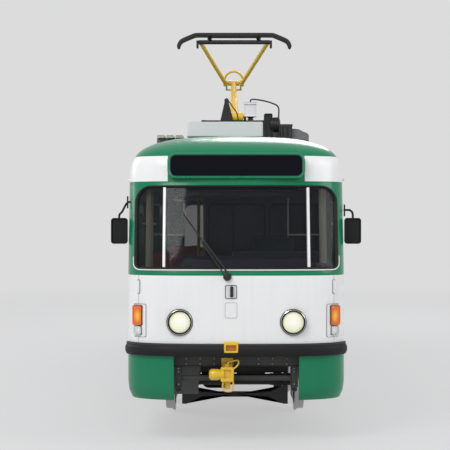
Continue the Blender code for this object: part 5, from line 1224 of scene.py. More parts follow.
def build_underframe():
    """Sills and cross beams, end beams with posts, and equipment boxes with lids and latches."""
    top = FLOOR_UNDER
    beams = pair(block((0.26, -6.76, 0.75), (0.34, 6.76, top), 0.008))
    for y in (-4.8, -1.2, 1.2, 4.8):
        beams.append(block((-0.38, y - 0.05, 0.76), (HALF_WIDTH - 0.15 if abs(y) < 2 else 0.38, y + 0.05, top - 0.01),
                           0.008))
    ends, bolts = [], []
    for end in (-1, 1):
        y = end * BOGIE_Y
        beams.append(block((-0.42, y - 0.18, 0.755), (0.42, y + 0.18, top - 0.005), 0.012))
        beams.append(turned(((0, BOLSTER + SEAT), (0.118, BOLSTER + SEAT), (0.13, BOLSTER + 0.012), (0.13, top - 0.02),
                             (0, top - 0.02)), (0, y, 0), UP, 40))
        near, far = sorted((end * 6.72, end * 6.8))
        ends.append(block((-0.65, near, 0.752), (0.65, far, top - 0.002), 0.01))
        ends += pair(block((0.54, near + 0.01, 0.54), (0.614, far - 0.01, top - 0.03), 0.01))
        ends.append(block((-0.577, near + 0.02, 0.61), (0.577, far - 0.02, 0.66), 0.008))
        ends += pair(block((0.548, near + 0.02, 0.5), (0.606, far - 0.02, 0.545), 0.016))
        bolts += hexes([(x, end * 6.7895, z) for x in (-0.577, 0.577) for z in (0.575, 0.7, 0.73)], (0, end, 0), 0.011,
                       0.008)
        bolts += hexes([(x, end * 6.7998, z) for x in (-0.5, -0.36, -0.22, 0.22, 0.36, 0.5) for z in (0.778, 0.832)],
                       (0, end, 0), 0.01, 0.008)
    piece("underframe_beams", beams, DARK_STEEL, replaces=("underframe",))
    piece("underframe_ends", ends, BUFFER_GREY, slot="dark_steel")
    piece("underframe_bolts", bolts, GREY_STEEL)
    boxes, trims = [], []
    for low, high in (((0.3, -1.42, 0.46), (HALF_WIDTH - 0.14, -0.15, 0.78)),
                      ((0.3, 0.15, 0.5), (HALF_WIDTH - 0.14, 1.42, 0.78)), ((-0.36, -1.05, 0.48), (0.1, 1.05, 0.8))):
        boxes.append(block(low, high, 0.014))
        side, x = (1, high[0]) if high[0] > 0.5 else (-1, low[0])
        place = frame_of((x, 0, 0), (0, side, 0), UP)
        for near, far in ((low[1] + 0.05, (low[1] + high[1]) / 2 - 0.02), ((low[1] + high[1]) / 2 + 0.02,
                high[1] - 0.05)):
            u0, u1 = sorted((near * side, far * side))
            trims.append(slab(rounded((u0, low[2] + 0.045), (u1, high[2] - 0.035), 0.018, 4), -0.001, 0.007, 0.003,
                              place))
            for u in (u0 + 0.1, u1 - 0.1):
                trims.append(slab(rounded((u - 0.02, high[2] - 0.075), (u + 0.02, high[2] - 0.045), 0.006, 3), 0.006,
                                  0.018, 0.003, place))
    piece("equipment_boxes", boxes, CRATE_GREY, slot="dark_steel")
    piece("equipment_lids", trims, DARK_STEEL)
    thick = curve(((0.2, -6.4, 0.8), (0.2, -3.6, 0.805), (0.18, 0, 0.815), (0.2, 3.6, 0.805), (0.2, 6.4, 0.8)), 60)
    thin = curve(((-0.18, -6.4, 0.815), (-0.17, 0, 0.826), (-0.18, 6.4, 0.815)), 60)
    pipes = [pipe(thick, 0.014, 8), pipe(thin, 0.01, 8)]
    piece("air_pipes", pipes, GREY_STEEL, slot="dark_steel")


build_underframe()


# Roof

CERAMIC = plastic("ceramic", (0.115, 0.045, 0.028), 0.22, 20, 0.05)


def wood(name, colour):
    """Sun-bleached boards: long grain along the car, dark pores and a dull surface."""
    look = Look(name, colour, 0.8)
    grain, board = look.noise(3.0, 5, (14.0, 0.6, 14.0), 0.65), look.noise(1.2, 1, (9.0, 0.1, 0.1))
    fibre = look.noise(9.0, 4, (22.0, 0.5, 22.0), 0.7)
    tone = look.mix(grain, tuple(c * 0.62 for c in colour), tuple(min(1.0, c * 1.25) for c in colour))
    return look.done(Base_Color=look.mix(board * 0.35, tone, (0.3, 0.28, 0.25)), Roughness=grain * 0.2 + 0.68,
                     Normal=look.bump(fibre, 0.5, 0.002))


WOOD = wood("roof_board_look", (0.52, 0.49, 0.43))


def insulator(centre, low, high, core, shed, count):
    """A turned post insulator: a core with evenly spaced sheds, each with a sloping top."""
    pitch = (high - low) / count
    profile = [(0, low), (core, low)]
    for i in range(count):
        z = low + i * pitch
        profile += [(core, z + pitch * 0.22), (shed, z + pitch * 0.34), (shed, z + pitch * 0.46),
                    (core, z + pitch * 0.86)]
    return turned([*profile, (core, high), (0, high)], (*centre, 0), UP, 28)


def roof_at(x):
    """Height of the skin at this distance from the middle, over the length where the roof is straight."""
    return float(np.interp(abs(x), SECTIONS[::-1, 1], SECTIONS[::-1, 0]))


def build_air_conditioner():
    """A housing with rounded shoulders, side louvres, a top fan grille and four feet."""
    x0, x1, y0, y1, low, high = -0.536, 0.31, -5.0, -4.05, 3.15, 3.31
    housing = slab(rounded((x0, y0), (x1, y1), 0.045, 6), low, high, 0.03, flat, 6, 3)
    base = slab(rounded((x0 + 0.02, y0 + 0.02), (x1 - 0.02, y1 - 0.02), 0.035, 5), low - 0.012, low + 0.01, 0.003, flat)
    piece("air_conditioner_housing", [housing, base], LIGHT_GREY, replaces=("air_conditioner",))
    feet = []
    for x in (x0 + 0.07, x1 - 0.07):
        for y in (y0 + 0.12, y1 - 0.12):
            feet.append(slab(rounded((x - 0.045, y - 0.045), (x + 0.045, y + 0.045), 0.012, 4), roof_at(x) - 0.002,
                             low - 0.01, 0.004, flat))
    piece("air_conditioner_feet", feet, LIGHT_GREY)
    slats, middle = [], ((x0 + x1) / 2, (y0 + y1) / 2)
    for i in range(4):
        z = low + 0.038 + i * 0.022
        for x, side in ((x0, -1), (x1, 1)):
            place = frame_of((x, 0, 0), (0, side, 0), UP)
            u = sorted((side * (y0 + 0.12), side * (y1 - 0.12)))
            slats.append(slab(rounded((u[0], z), (u[1], z + 0.009), 0.004, 3), -0.002, 0.0012, 0.0005, place))
    for radius in (0.06, 0.1, 0.14, 0.18):
        ring = ((radius, 0), (radius, 0.006), (radius + 0.006, 0.006), (radius + 0.006, 0))
        slats.append(turned(ring, (*middle, high - 0.001), UP, 48))
    for a, b in circle(1.0, 6):
        start, end = (middle[0] + 0.03 * a, middle[1] + 0.03 * b, high + 0.003), (middle[0] + 0.186 * a,
                middle[1] + 0.186 * b, high + 0.003)
        slats.append(bar(start, end, 0.0035, 8))
    slats.append(turned(((0, 0), (0.036, 0), (0.034, 0.009), (0, 0.01)), (*middle, high - 0.001), UP, 28))
    piece("air_conditioner_grilles", slats, BLACK)
    bolts = hexes([(x, y, high - 0.001) for x in (x0 + 0.05, x1 - 0.05) for y in (y0 + 0.08, -4.525, y1 - 0.08)], UP,
                  0.009, 0.007)
    piece("air_conditioner_bolts", bolts, GREY_STEEL)


def build_container():
    """The resistor case: a dark housing with a lid and ribs, and a bank of stepped fins outboard."""
    x0, x1, y0, y1, top = 0.52, 0.76, -2.15, -0.65, 3.47
    base = roof_at(x0 + 0.02) + SEAT
    case = [block((x0, y0, base + 0.04), (x1, y1, top - 0.02), 0.012), block((x0 - 0.006, y0 - 0.006, top - 0.034),
            (x1 + 0.006, y1 + 0.006, top), 0.008)]
    for y in (y0 + 0.15, y1 - 0.15):
        case.append(block((x0 + 0.02, y - 0.04, base), (x1 - 0.05, y + 0.04, base + 0.06), 0.006))
    ribs = []
    for i in range(7):
        y = y0 + 0.12 + i * (y1 - y0 - 0.24) / 6
        ribs.append(block((x0 - 0.01, y - 0.01, base + 0.07), (x0 + 0.004, y + 0.01, top - 0.05), 0.003))
    for x in (x0 + 0.06, x0 + 0.12, x0 + 0.18):
        ribs.append(block((x - 0.008, y0 - 0.01, base + 0.07), (x + 0.008, y0 + 0.004, top - 0.05), 0.003))
    piece("roof_container_case", case, CRATE_GREY, slot="crate_grey", replaces=("roof_container",))
    piece("roof_container_ribs", ribs, DARK_STEEL, slot="crate_grey")
    fins, pitch = [], (1.5 - 0.2) / 8
    for i in range(9):
        y = y0 + 0.1 + i * pitch
        outline = ((x1 - 0.01, base + 0.052), (0.974, base + 0.052), (0.98, base + 0.06),
                   (0.98, top - 0.135), (0.955, top - 0.11), (0.9, top - 0.088), (0.85, top - 0.06),
                   (x1 - 0.01, top - 0.05))
        fins.append(slab(outline, -y - 0.015, -y + 0.015, 0.004))
        for j in range(3):
            z = base + 0.085 + j * 0.05
            fins.append(block((x1 + 0.02, y - 0.021, z), (0.962, y + 0.021, z + 0.012), 0.003))
    fins.append(block((x1 - 0.01, y0 + 0.09, 3.18), (0.92, y1 - 0.09, 3.26), 0.006))
    piece("roof_container_fins", fins, GREY_STEEL)


def build_walkway():
    """Three boards on bearers cut to the roof's curve, held by round-headed screws."""
    y0, y1, top = -5.4, -2.5, 3.135
    boards, bearers, screws = [], [], []
    places = [-0.86 + (i + 0.5) * 0.1 for i in range(3)]
    for x in places:
        boards.append(block((x - 0.042, y0, top - 0.025), (x + 0.042, y1, top), 0.005))
    for i in range(3):
        y = y0 + 0.2 + i * 1.25
        xs = np.linspace(-0.56, -0.86, 9)
        outline = np.vstack((np.column_stack((xs[::-1], [roof_at(x) + 0.0005 for x in xs[::-1]])),
                             ((-0.56, top - 0.024), (-0.86, top - 0.024))))
        bearers.append(slab(outline, -y - 0.025, -y + 0.025, 0.003))
        screws += [turned(((0, 0), (0.008, 0), (0.007, 0.003), (0.003, 0.005), (0, 0.0052)), (x + dx, y, top - 0.0005),
                          UP, 12) for x in places for dx in (-0.022, 0.022)]
    piece("roof_boards", boards, WOOD, slot="board_wood", replaces=("roof_walkway",))
    piece("board_bearers", bearers, GREY_STEEL)
    piece("board_screws", screws, GREY_STEEL)


def build_electrics():
    """Arrester on a post insulator, fuse box, choke coil, a gusset with lightening holes, and busbars."""
    y, foot = -3.85, CROWN + 0.02
    plate = slab(rounded((-0.25, y - 0.12), (0.6, y + 0.12), 0.02, 4), CROWN - 0.004, CROWN + 0.03, 0.006, flat)
    stand = [bar((0.19, y, foot), (0.19, y, 3.2), 0.048, 28), bar((0.19, y, 3.43), (0.19, y, 3.462), 0.04, 28)]
    fuse = block((0.35, y - 0.07, foot), (0.45, y + 0.07, 3.48), 0.016)
    gusset = between(np.array(((-0.23, foot), (0.06, foot), (-0.078, 3.65), (-0.112, 3.65))),
                     np.array(((-0.15, foot + 0.085), (-0.03, foot + 0.085), (-0.088, 3.37), (-0.101, 3.37))),
                     -y - 0.02, -y + 0.02, 0.003)
    head = boss((-0.095, y, 3.64), 0.022, 0.026, (0.004, 0.006), ALONG, 24)
    piece("electrics_base", [plate, *stand, fuse, gusset, head], DARK_STEEL, replaces=("roof_electrics",))
    piece("arrester_post", insulator((0.19, y), 3.195, 3.435, 0.022, 0.038, 6), CERAMIC)
    case = [block((0.115, y - 0.075, 3.445), (0.265, y + 0.075, 3.6), 0.014), block((0.11, y - 0.08, 3.592),
            (0.27, y + 0.08, 3.615), 0.006)]
    piece("arrester_box", case, LIGHT_GREY)
    winding = [turned(circle(0.0085, 8, (0.086, -0.052 + i * 0.0185)), (0.485, y, 3.35), ACROSS, 44) for i in range(6)]
    winding += [turned(circle(0.0085, 8, (0.068, -0.043 + i * 0.0185)), (0.485, y, 3.35), ACROSS, 36) for i in range(5)]
    core = turned(((0, -0.056), (0.056, -0.056), (0.058, 0.056), (0, 0.056)), (0.485, y, 3.35), ACROSS, 32)
    piece("choke_coil", [*winding, core], BLACK, slot="dark_steel")
    rail = [pipe(curve(((0.19, y, 3.61), (0.2, y, 3.65), (0.3, y, 3.645), (0.44, y, 3.61), (0.52, y, 3.56),
                        (0.525, y, 3.44)), 50), 0.009, 8, ALONG),
            pipe(curve(((-0.075, y, 3.64), (-0.02, y, 3.56), (0.03, y, 3.48), (0.06, y - 0.02, 3.3),
                        (0.06, y, 3.136)), 40), 0.007, 8, ALONG),
            pipe(curve(((0.525, y, 3.44), (0.545, y + 0.05, 3.3), (0.56, y + 0.4, 3.14), (0.565, y + 1.2, 3.11),
                        (0.57, -2.17, 3.13)), 60), 0.009, 8)]
    piece("busbars", rail, BLACK, slot="dark_steel")


for build in (build_air_conditioner, build_container, build_walkway, build_electrics):
    build()


# Pantograph, worked out as (y, z)

def on_arm(start, length, angle):
    """The far end of an arm from a start, by its length and its angle in degrees."""
    turn = radians(angle)
    return start[0] + length * cos(turn), start[1] + length * sin(turn)


FOOT_PIVOT, LOWER, UPPER = (-3.0, 3.5), (1.08, 28.2), (1.26, 161.8)
KNEE = on_arm(FOOT_PIVOT, *LOWER)
HEAD = on_arm(KNEE, *UPPER)
ROD_FOOT, ROD_LENGTH, ROD_ANGLE = (-2.8, 3.4), 1.006, 32.04
CARBON = plastic("carbon_strip", (0.02, 0.02, 0.021), 0.5, 200, 0.3)


def build_pantograph_base():
    """The base frame on four post insulators, the pivot lugs and the rod's bearing."""
    bars = pair(block((0.34, -3.5, 3.37), (0.4, -2.3, 3.43), 0.01))
    for y in (-3.5, -3.03, -2.36):
        bars.append(block((-0.39, y, 3.372), (0.39, y + 0.06, 3.416 if y > -3 else 3.428), 0.01))
    bars.append(block((-0.39, -2.83, 3.352), (0.39, -2.77, 3.372), 0.006))
    bars += pair(block((0.0265, -2.825, 3.36), (0.045, -2.775, 3.43), 0.006))
    turn = np.linspace(0, pi, 13)
    lug = np.vstack((((-3.05, 3.42), (-2.95, 3.42)),
                     np.array(FOOT_PIVOT) + 0.046 * np.stack((np.cos(turn), np.sin(turn)), -1)))
    ring = circle(0.015, len(lug), FOOT_PIVOT, start=-pi / 2 - 0.4)
    bars += pair(between(lug, ring, 0.12, 0.15, 0.003, upright))
    posts, caps = [], []
    for x in (-0.37, 0.37):
        for y in (-3.42, -2.38):
            foot = roof_at(abs(x) - 0.032)
            posts.append(insulator((x, y), foot + 0.018, 3.362, 0.03, 0.054, 4))
            caps.append(bar((x, y, foot - 0.006), (x, y, foot + 0.02), 0.044, 28))
            caps.append(bar((x, y, 3.356), (x, y, 3.372), 0.038, 28))
    piece("pantograph_base_frame", bars, DARK_STEEL, replaces=("pantograph_base",))
    piece("pantograph_insulators", posts, CERAMIC)
    piece("pantograph_feet", caps, GREY_STEEL)


def build_pantograph_arms():
    """Lower arm, control rod and forked upper arm with its arched brace, all round tubes with turned joints."""
    body = "pantograph_lower_arm"
    start, knee = np.array(((0, *FOOT_PIVOT), (0, *KNEE)))
    length = LOWER[0]
    taper = turned(((0, 0), (0.057, 0), (0.058, 0.05), (0.056, 0.12), (0.033, length - 0.1), (0.03, length - 0.03),
                    (0.03, length), (0, length)), start, knee - start, 32)
    barrel, hub = boss(start, 0.115, 0.058, (0.006, 0.007), sides=32), boss(knee, 0.075, 0.032, (0.004, 0.005))
    pins = [bar((-0.15, *FOOT_PIVOT), (0.15, *FOOT_PIVOT), 0.0138, 20),
            bar((-0.137, *KNEE), (0.137, *KNEE), 0.0138, 20)]
    piece(f"{body}_tube", [taper, barrel, hub], YELLOW_PAINT, body, None, (body,))
    piece(f"{body}_pins", pins, GREY_STEEL, body)

    body = "pantograph_rod"
    eye = np.array((0, *on_arm(ROD_FOOT, ROD_LENGTH, ROD_ANGLE)))
    foot = np.array((0, *ROD_FOOT))
    along = (eye - foot) / ROD_LENGTH
    link = turned(((0, 0), (0.012, 0), (0.012, 0.6), (0.0155, 0.61), (0.0155, 0.72), (0.012, 0.73),
                   (0.012, ROD_LENGTH - 0.026), (0, ROD_LENGTH - 0.026)), foot, along, 20)
    ring = boss(eye, 0.015, 0.03, (0.003, 0.003), bore=0.0181)
    heel = boss(foot, 0.026, 0.022, (0.003, 0.003), sides=24)
    piece(f"{body}_link", [link, ring, heel], GREY_STEEL, body, None, (body,))

    body = "pantograph_upper_arm"
    (start, end), length = np.array(((0.108, *KNEE), (0.416, *HEAD))), hypot(UPPER[0], 0.308)
    tubes = pair(turned(((0, 0), (0.0265, 0), (0.0265, 1.2), (0.0265, length), (0, length)), start, end - start, 24))
    ears = pair(boss((0.1067, *KNEE), 0.0264, 0.04, (0.004, 0.0044), sides=32, bore=0.0148))
    tail = on_arm(KNEE, 0.127, -37.2)
    cranks = pair(bar((0.0933, *KNEE), (0.0933, *tail), 0.012, 16))
    cranks += pair(bar((0.0215, *tail), (0.1033, *tail), 0.01, 16))
    turn = radians(UPPER[1])
    along, rise = np.array((0, cos(turn), sin(turn))), np.array((0, sin(turn), -cos(turn)))
    sweep = np.linspace(0, pi, 33)[:, None]
    arch = knee + np.cos(sweep) * (0.1227, 0, 0) + (0.06 + 0.12 * np.sin(sweep)) * along + 0.088 * np.sin(sweep) * rise
    brace = pipe(arch, 0.015, 14, rise)
    cross = boss((0, *HEAD), 0.436, 0.0265, (0.0035, 0.004))
    piece(f"{body}_tubes", [*tubes, *ears, *cranks, brace], YELLOW_PAINT, body, None, (body,), 45)
    hangers = pair(block((0.4365, HEAD[0] - 0.026, HEAD[1] - 0.075), (0.464, HEAD[0] + 0.026, HEAD[1] + 0.02), 0.007))
    piece(f"{body}_cross", [cross, *hangers], BLACK, body, "dark_steel")


def build_pantograph_head():
    """Two bows with turned-down horns, carbon strips on their level stretch, and the sprung ties between."""
    body = "pantograph_head"
    level = HEAD[1] + 0.085
    bows, strips, ties = [], [], []
    route = [(-0.6835, -0.15), (-0.672, -0.112), (-0.64, -0.072), (-0.5485, -0.03), (-0.49, -0.007), (-0.44, 0),
             (-0.2, 0)]
    route += [(-x, z) for x, z in reversed(route)]
    for step in (-1, 1):
        y = HEAD[0] + step * 0.08
        line = curve([(x, y, level + z) for x, z in route], 110)
        bows.append(swept(line, rounded((-0.02, -0.014), (0.02, 0.01), 0.006, 3), ALONG))
        strips.append(slab(rounded((-0.4, level + 0.008), (0.4, level + 0.0195), 0.004, 3), -y - 0.017, -y + 0.017,
                           0.002))
        for x in (-0.6835, 0.6835):
            bows.append(bar((x, y - 0.012, level - 0.148), (x, y + 0.012, level - 0.148), 0.016, 16))
    for x in (-0.3, 0.3):
        ties.append(block((x - 0.02, HEAD[0] - 0.08, level - 0.012), (x + 0.02, HEAD[0] + 0.08, level + 0.006), 0.005))
        ties.append(block((x - 0.016, HEAD[0] - 0.018, HEAD[1] + 0.0268), (x + 0.016, HEAD[0] + 0.018, level - 0.004),
                          0.004))
        ties.append(coil((x, HEAD[0], HEAD[1] + 0.03), (x, HEAD[0], level - 0.014), 0.026, 0.004, 4))
    ties.append(bar((-0.28, HEAD[0], level - 0.03), (0.28, HEAD[0], level - 0.03), 0.007, 12))
    piece(f"{body}_bows", bows, DARK_STEEL, body, None, (body,), 40)
    piece(f"{body}_strips", strips, CARBON, body, "dark_steel")
    piece(f"{body}_ties", ties, DARK_STEEL, body)


for build in (build_pantograph_base, build_pantograph_arms, build_pantograph_head):
    build()


# Inside

SEAT_RED = plastic("seat_shell_look", (0.42, 0.055, 0.03), 0.38, 160, 0.08)
RAIL_PAINT = enamel("rail_enamel", (0.78, 0.5, 0.02), 0.3, 0, 0.3)
DESK_GREY = plastic("desk_look", (0.17, 0.18, 0.2), 0.5, 140, 0.12)
PANEL_GREY = plastic("panel_look", (0.1, 0.115, 0.135), 0.45, 60, 0.05)


def seat_shell(y, side):
    """A moulded seat: a strip from the front lip over the pan and up the back, dished across, its edges rolled."""
    wall = HALF_WIDTH - WALL - SEAT
    inner, outer = wall - 0.05 - 0.03 - 0.42, wall - 0.05 + 0.005
    front, back, top = y - 0.21, y + 0.21, 1.34
    line = curve(((front - 0.004, top - 0.052), (front + 0.004, top - 0.012), (front + 0.05, top - 0.002),
                  (y, top - 0.02), (back - 0.075, top - 0.022), (back - 0.01, top + 0.04), (back + 0.015, top + 0.2),
                  (back + 0.05, top + 0.38), (back + 0.068, 1.79), (back + 0.082, 1.798)), 44)
    s = np.linspace(0, 1, len(line))[:, None]
    u = np.linspace(-1, 1, 19)[None]
    along = np.gradient(line, axis=0)
    along /= np.linalg.norm(along, axis=1)[:, None]
    normal = np.stack((-along[:, 1], along[:, 0]), -1)                  # towards the sitter
    waist = 1 - 0.1 * np.exp(-((s - 0.55) / 0.06) ** 2) - 0.55 * np.clip((s - 0.93) / 0.07, 0, 1) ** 3
    dish = -0.016 * np.cos(u * pi / 2) ** 2 * np.sin(s * pi) ** 0.5 + 0.012 * np.abs(u) ** 6
    layers = []
    for thick in (0, -0.009):
        lift = dish + thick
        x = (inner + outer) / 2 + (outer - inner) / 2 * u * waist
        layers.append(np.stack((np.broadcast_to(x, lift.shape), line[:, :1] + lift * normal[:, :1],
                                line[:, 1:] + lift * normal[:, 1:]), -1))
    rows = np.concatenate((layers[0], layers[1][:, ::-1]), axis=1)
    points, quads = grid(rows)
    columns = rows.shape[1]
    caps = []
    for row in (0, len(line) - 1):
        i = np.arange(18)
        caps.append(np.stack((i, i + 1, columns - 2 - i, columns - 1 - i), -1) + row * columns)
    quads = np.vstack((quads, *caps))
    return points * (side, 1, 1), quads


def build_seats():
    """Rows of moulded seats hung from a rail on each wall, with a tube frame under every seat."""
    for name, side, first, count in (("seats_left", 1, -4.1, 13), ("seats_right_front", -1, -3.95, 4),
            ("seats_right_rear", -1, 1.5, 4)):
        wall = HALF_WIDTH - WALL - SEAT
        shells, frames = [], []
        last = first + (count - 1) * SEAT_PITCH
        x0, x1 = sorted((side * (wall - 0.05), side * wall))
        frames.append(block((x0, first - 0.25, 1.18), (x1, last + 0.25, 1.3), 0.012))
        for i in range(count):
            y = first + i * SEAT_PITCH
            shells.append(seat_shell(y, side))
            for step in (-0.13, 0.13):
                line = ((wall - 0.045, y + step, 1.24), (wall - 0.2, y + step, 1.282), (wall - 0.47, y + step, 1.3))
                frames.append(pipe(curve([(side * a, b, c) for a, b, c in line], 12), 0.011, 10))
        piece(f"{name}_shells", shells, SEAT_RED, slot="seat_shell", replaces=(name,), angle=60)
        piece(f"{name}_frames", frames, GREY_STEEL)


def build_rails():
    """Ceiling rails with bent ends, posts from the floor, and cross bars between them."""
    parts, sockets = [], []
    for side in (-1, 1):
        x = side * 0.43
        parts.append(pipe(curve(((x, -4.1, 2.752), (x, -4.02, 2.75), (x, -3.6, 2.75), (x, 0.3, 2.75), (x, 4.3, 2.75),
                                 (x, 4.72, 2.75), (x, 4.8, 2.752)), 90), 0.017, 12))
        for y in POST_ROWS:
            parts.append(bar((x, y, 0.902), (x, y, 2.87), 0.0185, 16, edge=0.001))
            sockets.append(turned(((0.0187, 0), (0.034, 0), (0.032, 0.012), (0.022, 0.022), (0.0187, 0.022)),
                                  (x, y, 0.9005), UP, 24))
            sockets.append(turned(((0.0187, -0.024), (0.026, -0.02), (0.026, 0.02), (0.0187, 0.024)), (x, y, 2.75), UP,
                                  20))
    for y in POST_ROWS:
        parts.append(bar((-0.43, y, 2.81), (0.43, y, 2.81), 0.017, 14, edge=0.001))
    piece("rail_tubes", parts, RAIL_PAINT, slot="rail_yellow", replaces=("grab_rails",))
    piece("rail_sockets", sockets, BLACK)


def build_cab():
    """The partition's framed windows, the desk with its cowl, gauges and levers, the sun blind and the corner posts."""
    y, base = -4.915, FLOOR_TOP + SEAT
    boards = [block((-0.034, y + 0.008, 1.8), (-0.006, y + 0.028, 2.38), 0.004)]
    windows = ((0.02, 0.3), (0.7, 0.3))
    for x, half in windows:
        boards.append(between(rounded((x - half - 0.022, 1.778), (x + half + 0.022, 2.402), 0.06, 5),
                              rounded((x - half + 0.002, 1.802), (x + half - 0.002, 2.378), 0.04, 5),
                              -y - 0.036, -y + 0.006, 0.003))
    piece("partition_frames", boards, BLACK)
    panes = [slab(rounded((x - half + 0.001, 1.801), (x + half - 0.001, 2.379), 0.04, 5), -y - 0.018, -y - 0.012)
             for x, half in windows]
    piece("partition_panes", panes, glass("partition_glass", (0.004, 0.006, 0.006), 0.88))

    inner = 0.062
    width, length, depth = hull_at(1.78)
    xs = np.linspace(-0.33, 0.98, 24)
    front = length - inner - (depth - inner) + superellipse(xs, width - inner, depth - inner)
    outline = np.vstack((np.column_stack((xs, -front + 0.004)), ((0.98, -6.05), (-0.33, -6.05))))
    desk = slab(outline, 1.58, 1.78, 0.024, flat, 5, 3)
    leg = block((-0.28, -6.3, base), (0.93, -6.1, 1.6), 0.02)
    piece("desk_body", [desk, leg], DESK_GREY, slot="grey_plastic", replaces=("driver_desk",))
    slope = frame_of((DRIVER_X, -6.16, 1.77), ACROSS, (0, -0.55, 0.835))
    console = slab(rounded((-0.46, -0.01), (0.46, 0.13), 0.03, 5), -0.02, 0.014, 0.006, slope)
    gauges, ring = [], ((0.044, 0), (0.048, 0.004), (0.048, 0.012), (0.042, 0.013), (0.04, 0.006), (0.04, 0))
    for x in (-0.3, -0.12, 0.06):
        centre = (DRIVER_X + x, -6.16 - 0.55 * 0.065 + 0.014 * 0.835, 1.77 + 0.835 * 0.065 + 0.014 * 0.55)
        gauges.append(turned(ring, centre, (0, 0.835, 0.55), 32))
    inside = on_end(-1)
    cowl = slab(divided(rounded((-0.59, 1.69), (0.815, 1.868), (0.02, 0.1), 6), 0.05), -0.15, -0.054, 0.02, inside, 4,
                4)
    piece("desk_cowl", cowl, plastic("cowl_look", (0.042, 0.05, 0.067), 0.5, 140, 0.1), slot="grey_plastic")
    blind = slab(divided(rounded((-0.65, 2.455), (0.63, 2.59), (0.05, 0.01), 5), 0.05), -0.11, -0.07, 0.008, inside, 3,
                 4)
    edge = slab(divided(rounded((-0.56, 2.518), (0.56, 2.526), 0.003, 2), 0.05), -0.071, -0.066, 0.001, inside, 2)
    piece("visor", blind, BLACK)
    piece("visor_edge", edge, GREY_STEEL)
    posts = pair(slab(divided(rounded((0.905, 1.69), (0.962, 2.585), 0.012, 3), 0.05), -0.13, -0.08, 0.012, inside, 3,
                      2))
    posts += pair(pipe(curve(((0.925, -6.395, 2.06), (0.8, -6.4, 2.062), (0.56, -6.4, 2.062), (0.533, -6.41, 2.085),
                              (0.53, -6.44, 2.48)), 30), 0.009, 10, ALONG))
    piece("cab_posts", posts, plastic("post_look", (0.5, 0.51, 0.37), 0.45, 120, 0.05), slot="rail_yellow")
    levers = [bar((0.8, -6.13, 1.778), (0.8, -6.11, 1.87), 0.01, 12),
              turned(((0, -0.02), (0.018, -0.014), (0.024, 0), (0.018, 0.016), (0, 0.022)), (0.8, -6.106, 1.885),
                     (0, 0.2, 1), 20)]
    piece("desk_console", [console], PANEL_GREY, slot="grey_plastic")
    piece("desk_gauges", [*gauges, *levers], BLACK)


def floor_covering():
    """Grooved floor covering, scuffed paler where people walk."""
    colour = (0.085, 0.088, 0.092)
    look = Look("floor_covering", colour, 0.6)
    _, x, _, _ = look.place()
    ribs = (x * (TAU / 0.024)).maths("SINE").above(0, 0.5)
    scuffs = look.noise(2.4, 4, (1.0, 0.4, 1.0), 0.6).above(0.5, 0.3) * 0.4
    return look.done(Base_Color=look.mix(scuffs, colour, (0.19, 0.18, 0.17)), Roughness=scuffs * 0.3 + 0.5,
                     Normal=look.bump(ribs, 0.4, 0.0012))


def fabric(name, colour, thread):
    """Woven cover: threads both ways as a fine relief, in two close shades."""
    look = Look(name, colour, 0.85, Sheen_Weight=0.3)
    _, x, y, z = look.place()
    weave = ((x + z) * (TAU / thread)).maths("SINE") * ((y + z) * (TAU / thread)).maths("SINE")
    cloud = look.noise(9, 3)
    return look.done(Base_Color=look.mix(weave * 0.25 + cloud * 0.4, colour, tuple(c * 0.5 for c in colour)),
                     Normal=look.bump(weave, 0.3, 0.0008))


def cushion(half, rest, crown, channels, place):
    """A crowned closed pad: sides that pull in between the corners, sewn channels on the face, and a flatter back.

    place(u, v, w) sets a point u across, v along and w off the pad's middle sheet."""
    s = np.sin(np.linspace(-1, 1, 61) * pi / 2)
    u, v = np.meshgrid(s, s, indexing="ij")
    pull = 0.03
    x = half[0] * u * (1 - pull * (1 - v ** 2))
    y = half[1] * v * (1 - pull * (1 - u ** 2))
    swell = ((1 - np.abs(u) ** 5) * (1 - np.abs(v) ** 5)) ** 0.42
    dome = 1 + 0.16 * (1 - u ** 2) * (1 - v ** 2)
    sewn = sum(np.exp(-((u - at) / 0.022) ** 2) for at in channels) * np.clip(1.1 - np.abs(v) ** 6, 0, 1)
    face = crown * swell * dome * (1 - 0.16 * sewn) + 0.0006 * swell * np.sin(31 * u + 9 * v) * np.sin(23 * v)
    back = -rest * swell
    points = [np.stack(place(x, y, height), -1).reshape(-1, 3) for height in (face, back)]
    i, j = np.meshgrid(np.arange(60), np.arange(60), indexing="ij")
    at = (i * 61 + j).ravel()
    ring = np.stack((at, at + 61, at + 62, at + 1), -1)
    return np.vstack(points), np.vstack((ring, ring[:, ::-1] + 61 * 61))


def welt(half, place):
    """The piped edge round a pad, on its middle sheet."""
    turn = np.linspace(0, TAU, 97)[:-1]
    u, v = (np.sign(f) * np.abs(f) ** 0.22 for f in (np.cos(turn), np.sin(turn)))
    x, y = half[0] * u * (1 - 0.03 * (1 - v ** 2)), half[1] * v * (1 - 0.03 * (1 - u ** 2))
    return pipe(np.stack(place(x, y, np.zeros_like(x)), -1), 0.0045, 8, closed=True)


